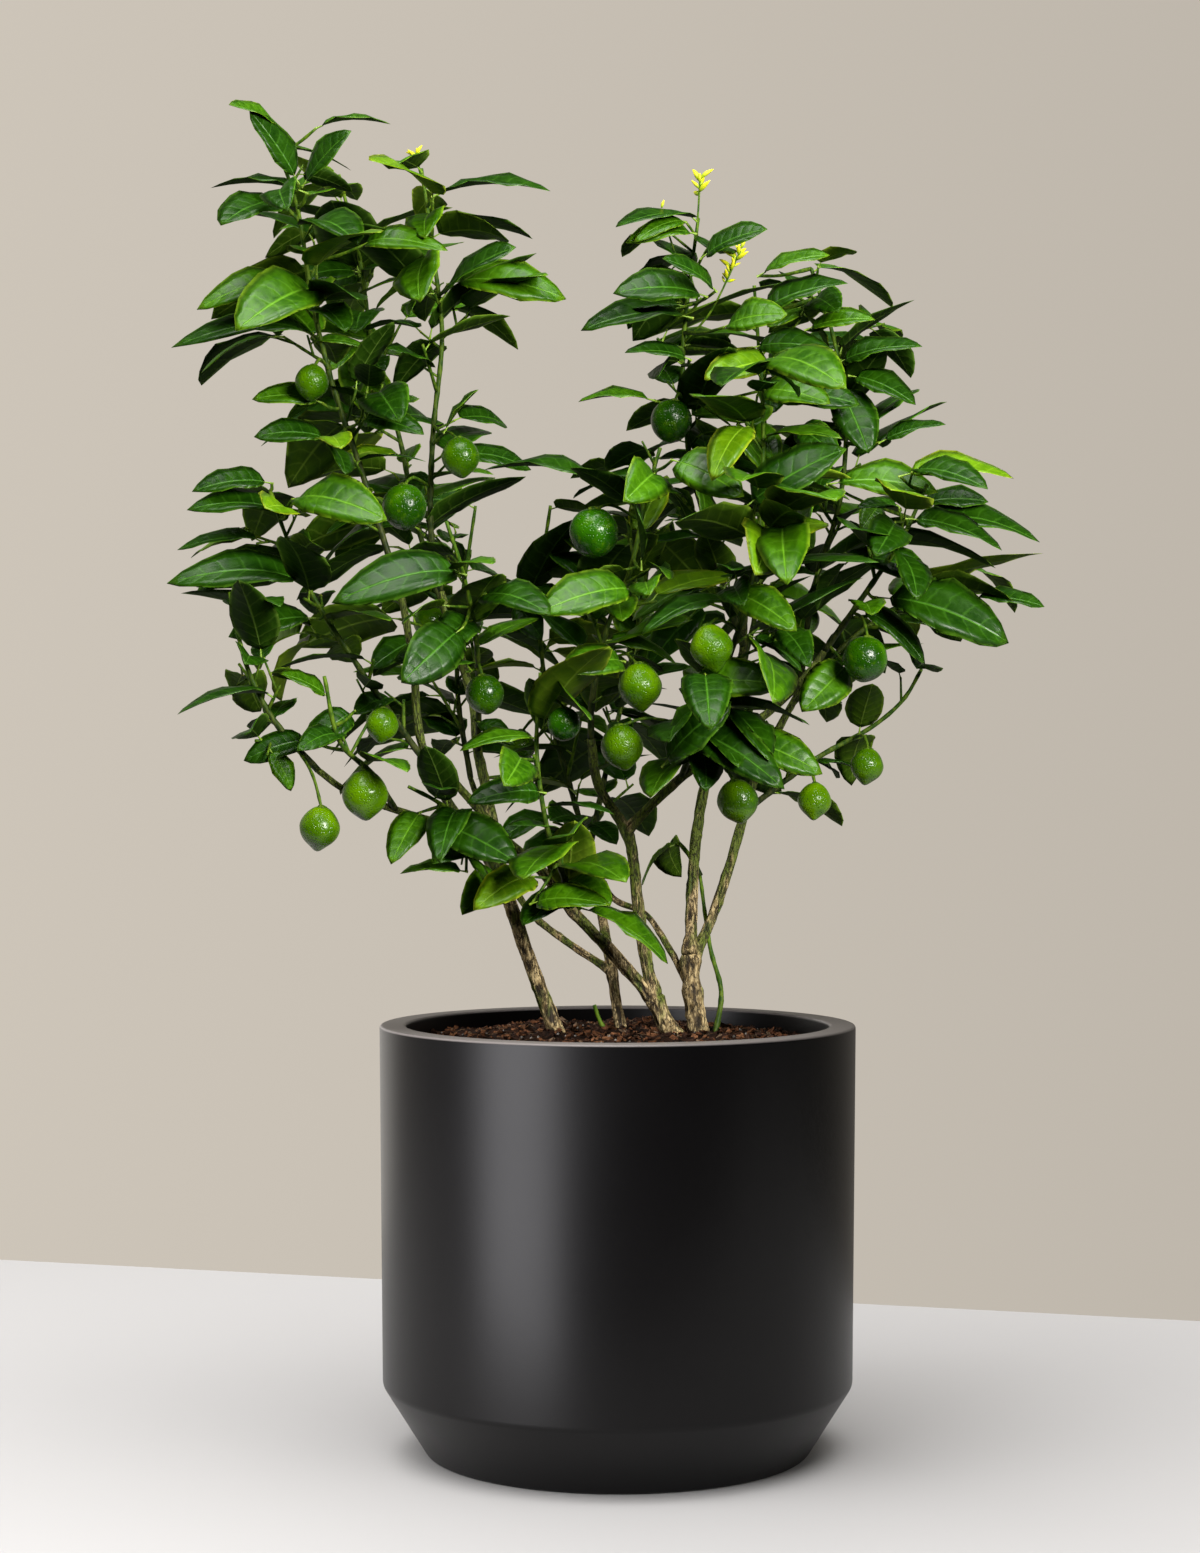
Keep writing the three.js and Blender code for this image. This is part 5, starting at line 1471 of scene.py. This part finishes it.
# Fibres: thin threads that arch over the crumbs.
def makeFibres():
    chance = np.random.default_rng(95)
    shares = np.linspace(-1, 1, 7)[:, None]
    surfaces = []
    for middle in moundPlaces(fibres["count"], chance):
        turn = 2 * math.pi * chance.random()
        reach = mix(*fibres["length"], chance.random()) / 2
        way = np.array([math.cos(turn), math.sin(turn), 0]) * reach
        bend = np.array([-way[1], way[0], 0]) * chance.uniform(-fibres["bend"], fibres["bend"])
        points = middle + way * shares + bend * (1 - shares ** 2)
        points[:, 2] = moundHeight(points[:, 0], points[:, 1]) + fibres["lift"]
        if np.hypot(points[:, 0], points[:, 1]).max() <= pot["innerRadius"] - fibres["wallGap"]:
            surfaces.append(tubeSurface(points, fibres["radius"], 4))
    addPiece("fibres", joined(surfaces), [chipMaterial("fibre", (0.26, 0.15, 0.08))], "soil")


makeMound()
makeChips()
makeGrains()
makeFibres()
print("potting mix made")

# Stage: a pale table, turned a little, before a warm wall. The world is that wall behind the plant and a
# dark room in front of it; the lamps are large and soft.
table = {"turn": 16, "backEdge": 560, "frontEdge": -500, "halfWidth": 3200, "colour": (0.625, 0.613, 0.605)}
room = {"wall": (0.565, 0.515, 0.447), "dark": (0.045, 0.042, 0.040), "darkEnd": -0.3, "wallStart": 0.85,
        "fallOff": 0.38, "ceilingStart": 0.32, "ceilingEnd": 0.62, "ceiling": 0.12, "share": 0.6,
        "lean": 0.45}
onPot = [name for name, slot in pieceSlots.items() if slot in ("pot", "soil")]
onPlant = [name for name in pieceSlots if name not in onPot]
onTable = ["table_top"]
# Each lamp's place, size, power, colour and what it lights. Some don't show as a glint on what they light.
lamps = {
    "key": [(-1.95, -1.85, 0.42), (1.8, 2.2), 112, (0.98, 0.965, 1.0), onPot],
    "side": [(-1.95, -1.85, 0.70), (2.4, 1.7), 56, (0.98, 0.985, 1.0), onTable],
    "behind": [(-1.25, 2.0, 0.45), (1.5, 1.4), 5.8, (1.0, 0.97, 0.93), onPot],
    "top": [(-0.25, -0.35, 2.5), (3.2, 3.0), 128, (1.0, 0.99, 0.985), onTable],
    "over": [(-0.25, -0.75, 2.5), (1.8, 1.6), 75, (1.0, 0.99, 0.97), onPlant + onPot],
    "front": [(0.95, -1.75, 1.15), (0.8, 0.8), 92, (1.0, 0.985, 0.93), onPlant],
    "fill": [(1.9, -1.3, 0.8), (1.6, 1.2), 9, (1.0, 0.985, 0.95), onTable],
    "left": [(-2.1, 0.35, 1.0), (1.4, 1.4), 20, (1.0, 0.99, 0.97), onPlant],
    "rear": [(0.6, 2.1, 1.3), (1.5, 1.3), 60, (1.0, 0.99, 0.97), onPlant],
}
withoutGlint = ["left", "rear"]
lampAim = (0, 0, 0.4)


def makeTable():
    turn = math.radians(-table["turn"])
    half = table["halfWidth"]
    far, near = table["backEdge"] * math.cos(turn), table["frontEdge"] * math.cos(turn)
    corners = np.array([[-half, near], [half, near], [half, far], [-half, far]])
    spin = np.array([[math.cos(turn), -math.sin(turn)], [math.sin(turn), math.cos(turn)]])
    colour = (*table["colour"], 1)
    material = newMaterial("table_top", Base_Color=colour, Roughness=0.6, Specular_IOR_Level=0.2)[0]
    surface = {"points": np.column_stack([corners @ spin.T, np.zeros(4)]), "quads": np.array([[0, 1, 2, 3]])}
    top = makeObject("table_top", surface, [material])
    top.visible_diffuse = False


# The world: the camera sees a plain wall all round, a little brighter to the left. As light it is that
# wall towards +Y, fainter than it looks because it is far behind, and dark towards -Y and overhead.
def makeRoom():
    world = bpy.context.scene.world or bpy.data.worlds.new("room")
    bpy.context.scene.world = world
    world.use_nodes = True
    wire = Wire(world.node_tree)
    parts = wire.node("ShaderNodeSeparateXYZ", {}, {0: wire.node("ShaderNodeTexCoord", output="Generated")})
    seen = wire.node("ShaderNodeLightPath", output="Is Camera Ray")
    lit = parts.out("Y").between(room["darkEnd"], room["wallStart"]).colour(room["dark"], room["wall"])
    ceiling = parts.out("Z").between(room["ceilingStart"], room["ceilingEnd"]) * (1 - room["ceiling"])
    light = (1 - parts.out("X") * room["lean"]) * (1 - ceiling) * room["share"]
    look = 1 - parts.out("X") * room["fallOff"]
    feed(world.node_tree.nodes["Background"], Color=seen.colour(lit, room["wall"]),
         Strength=look * seen + light * (1 - seen))


def makeLamps():
    for name, (place, size, power, colour, targets) in lamps.items():
        data = bpy.data.lights.new(name, "AREA")
        data.shape = "RECTANGLE"
        data.size, data.size_y = size
        data.energy = power
        data.color = colour
        light = bpy.data.objects.new(name, data)
        light.location = place
        back = np.subtract(place, lampAim)
        back /= np.linalg.norm(back)
        light.rotation_euler = (math.acos(back[2]), 0, math.atan2(back[1], back[0]) + math.pi / 2)
        bpy.context.scene.collection.objects.link(light)
        lit = bpy.data.collections.new("lit_by_" + name)
        for target in targets:
            lit.objects.link(bpy.data.objects[target])
        light.light_linking.receiver_collection = lit
        light.visible_glossy = name not in withoutGlint


makeTable()
makeRoom()
makeLamps()
bpy.context.scene.view_settings.view_transform = "Standard"
print("stage set")
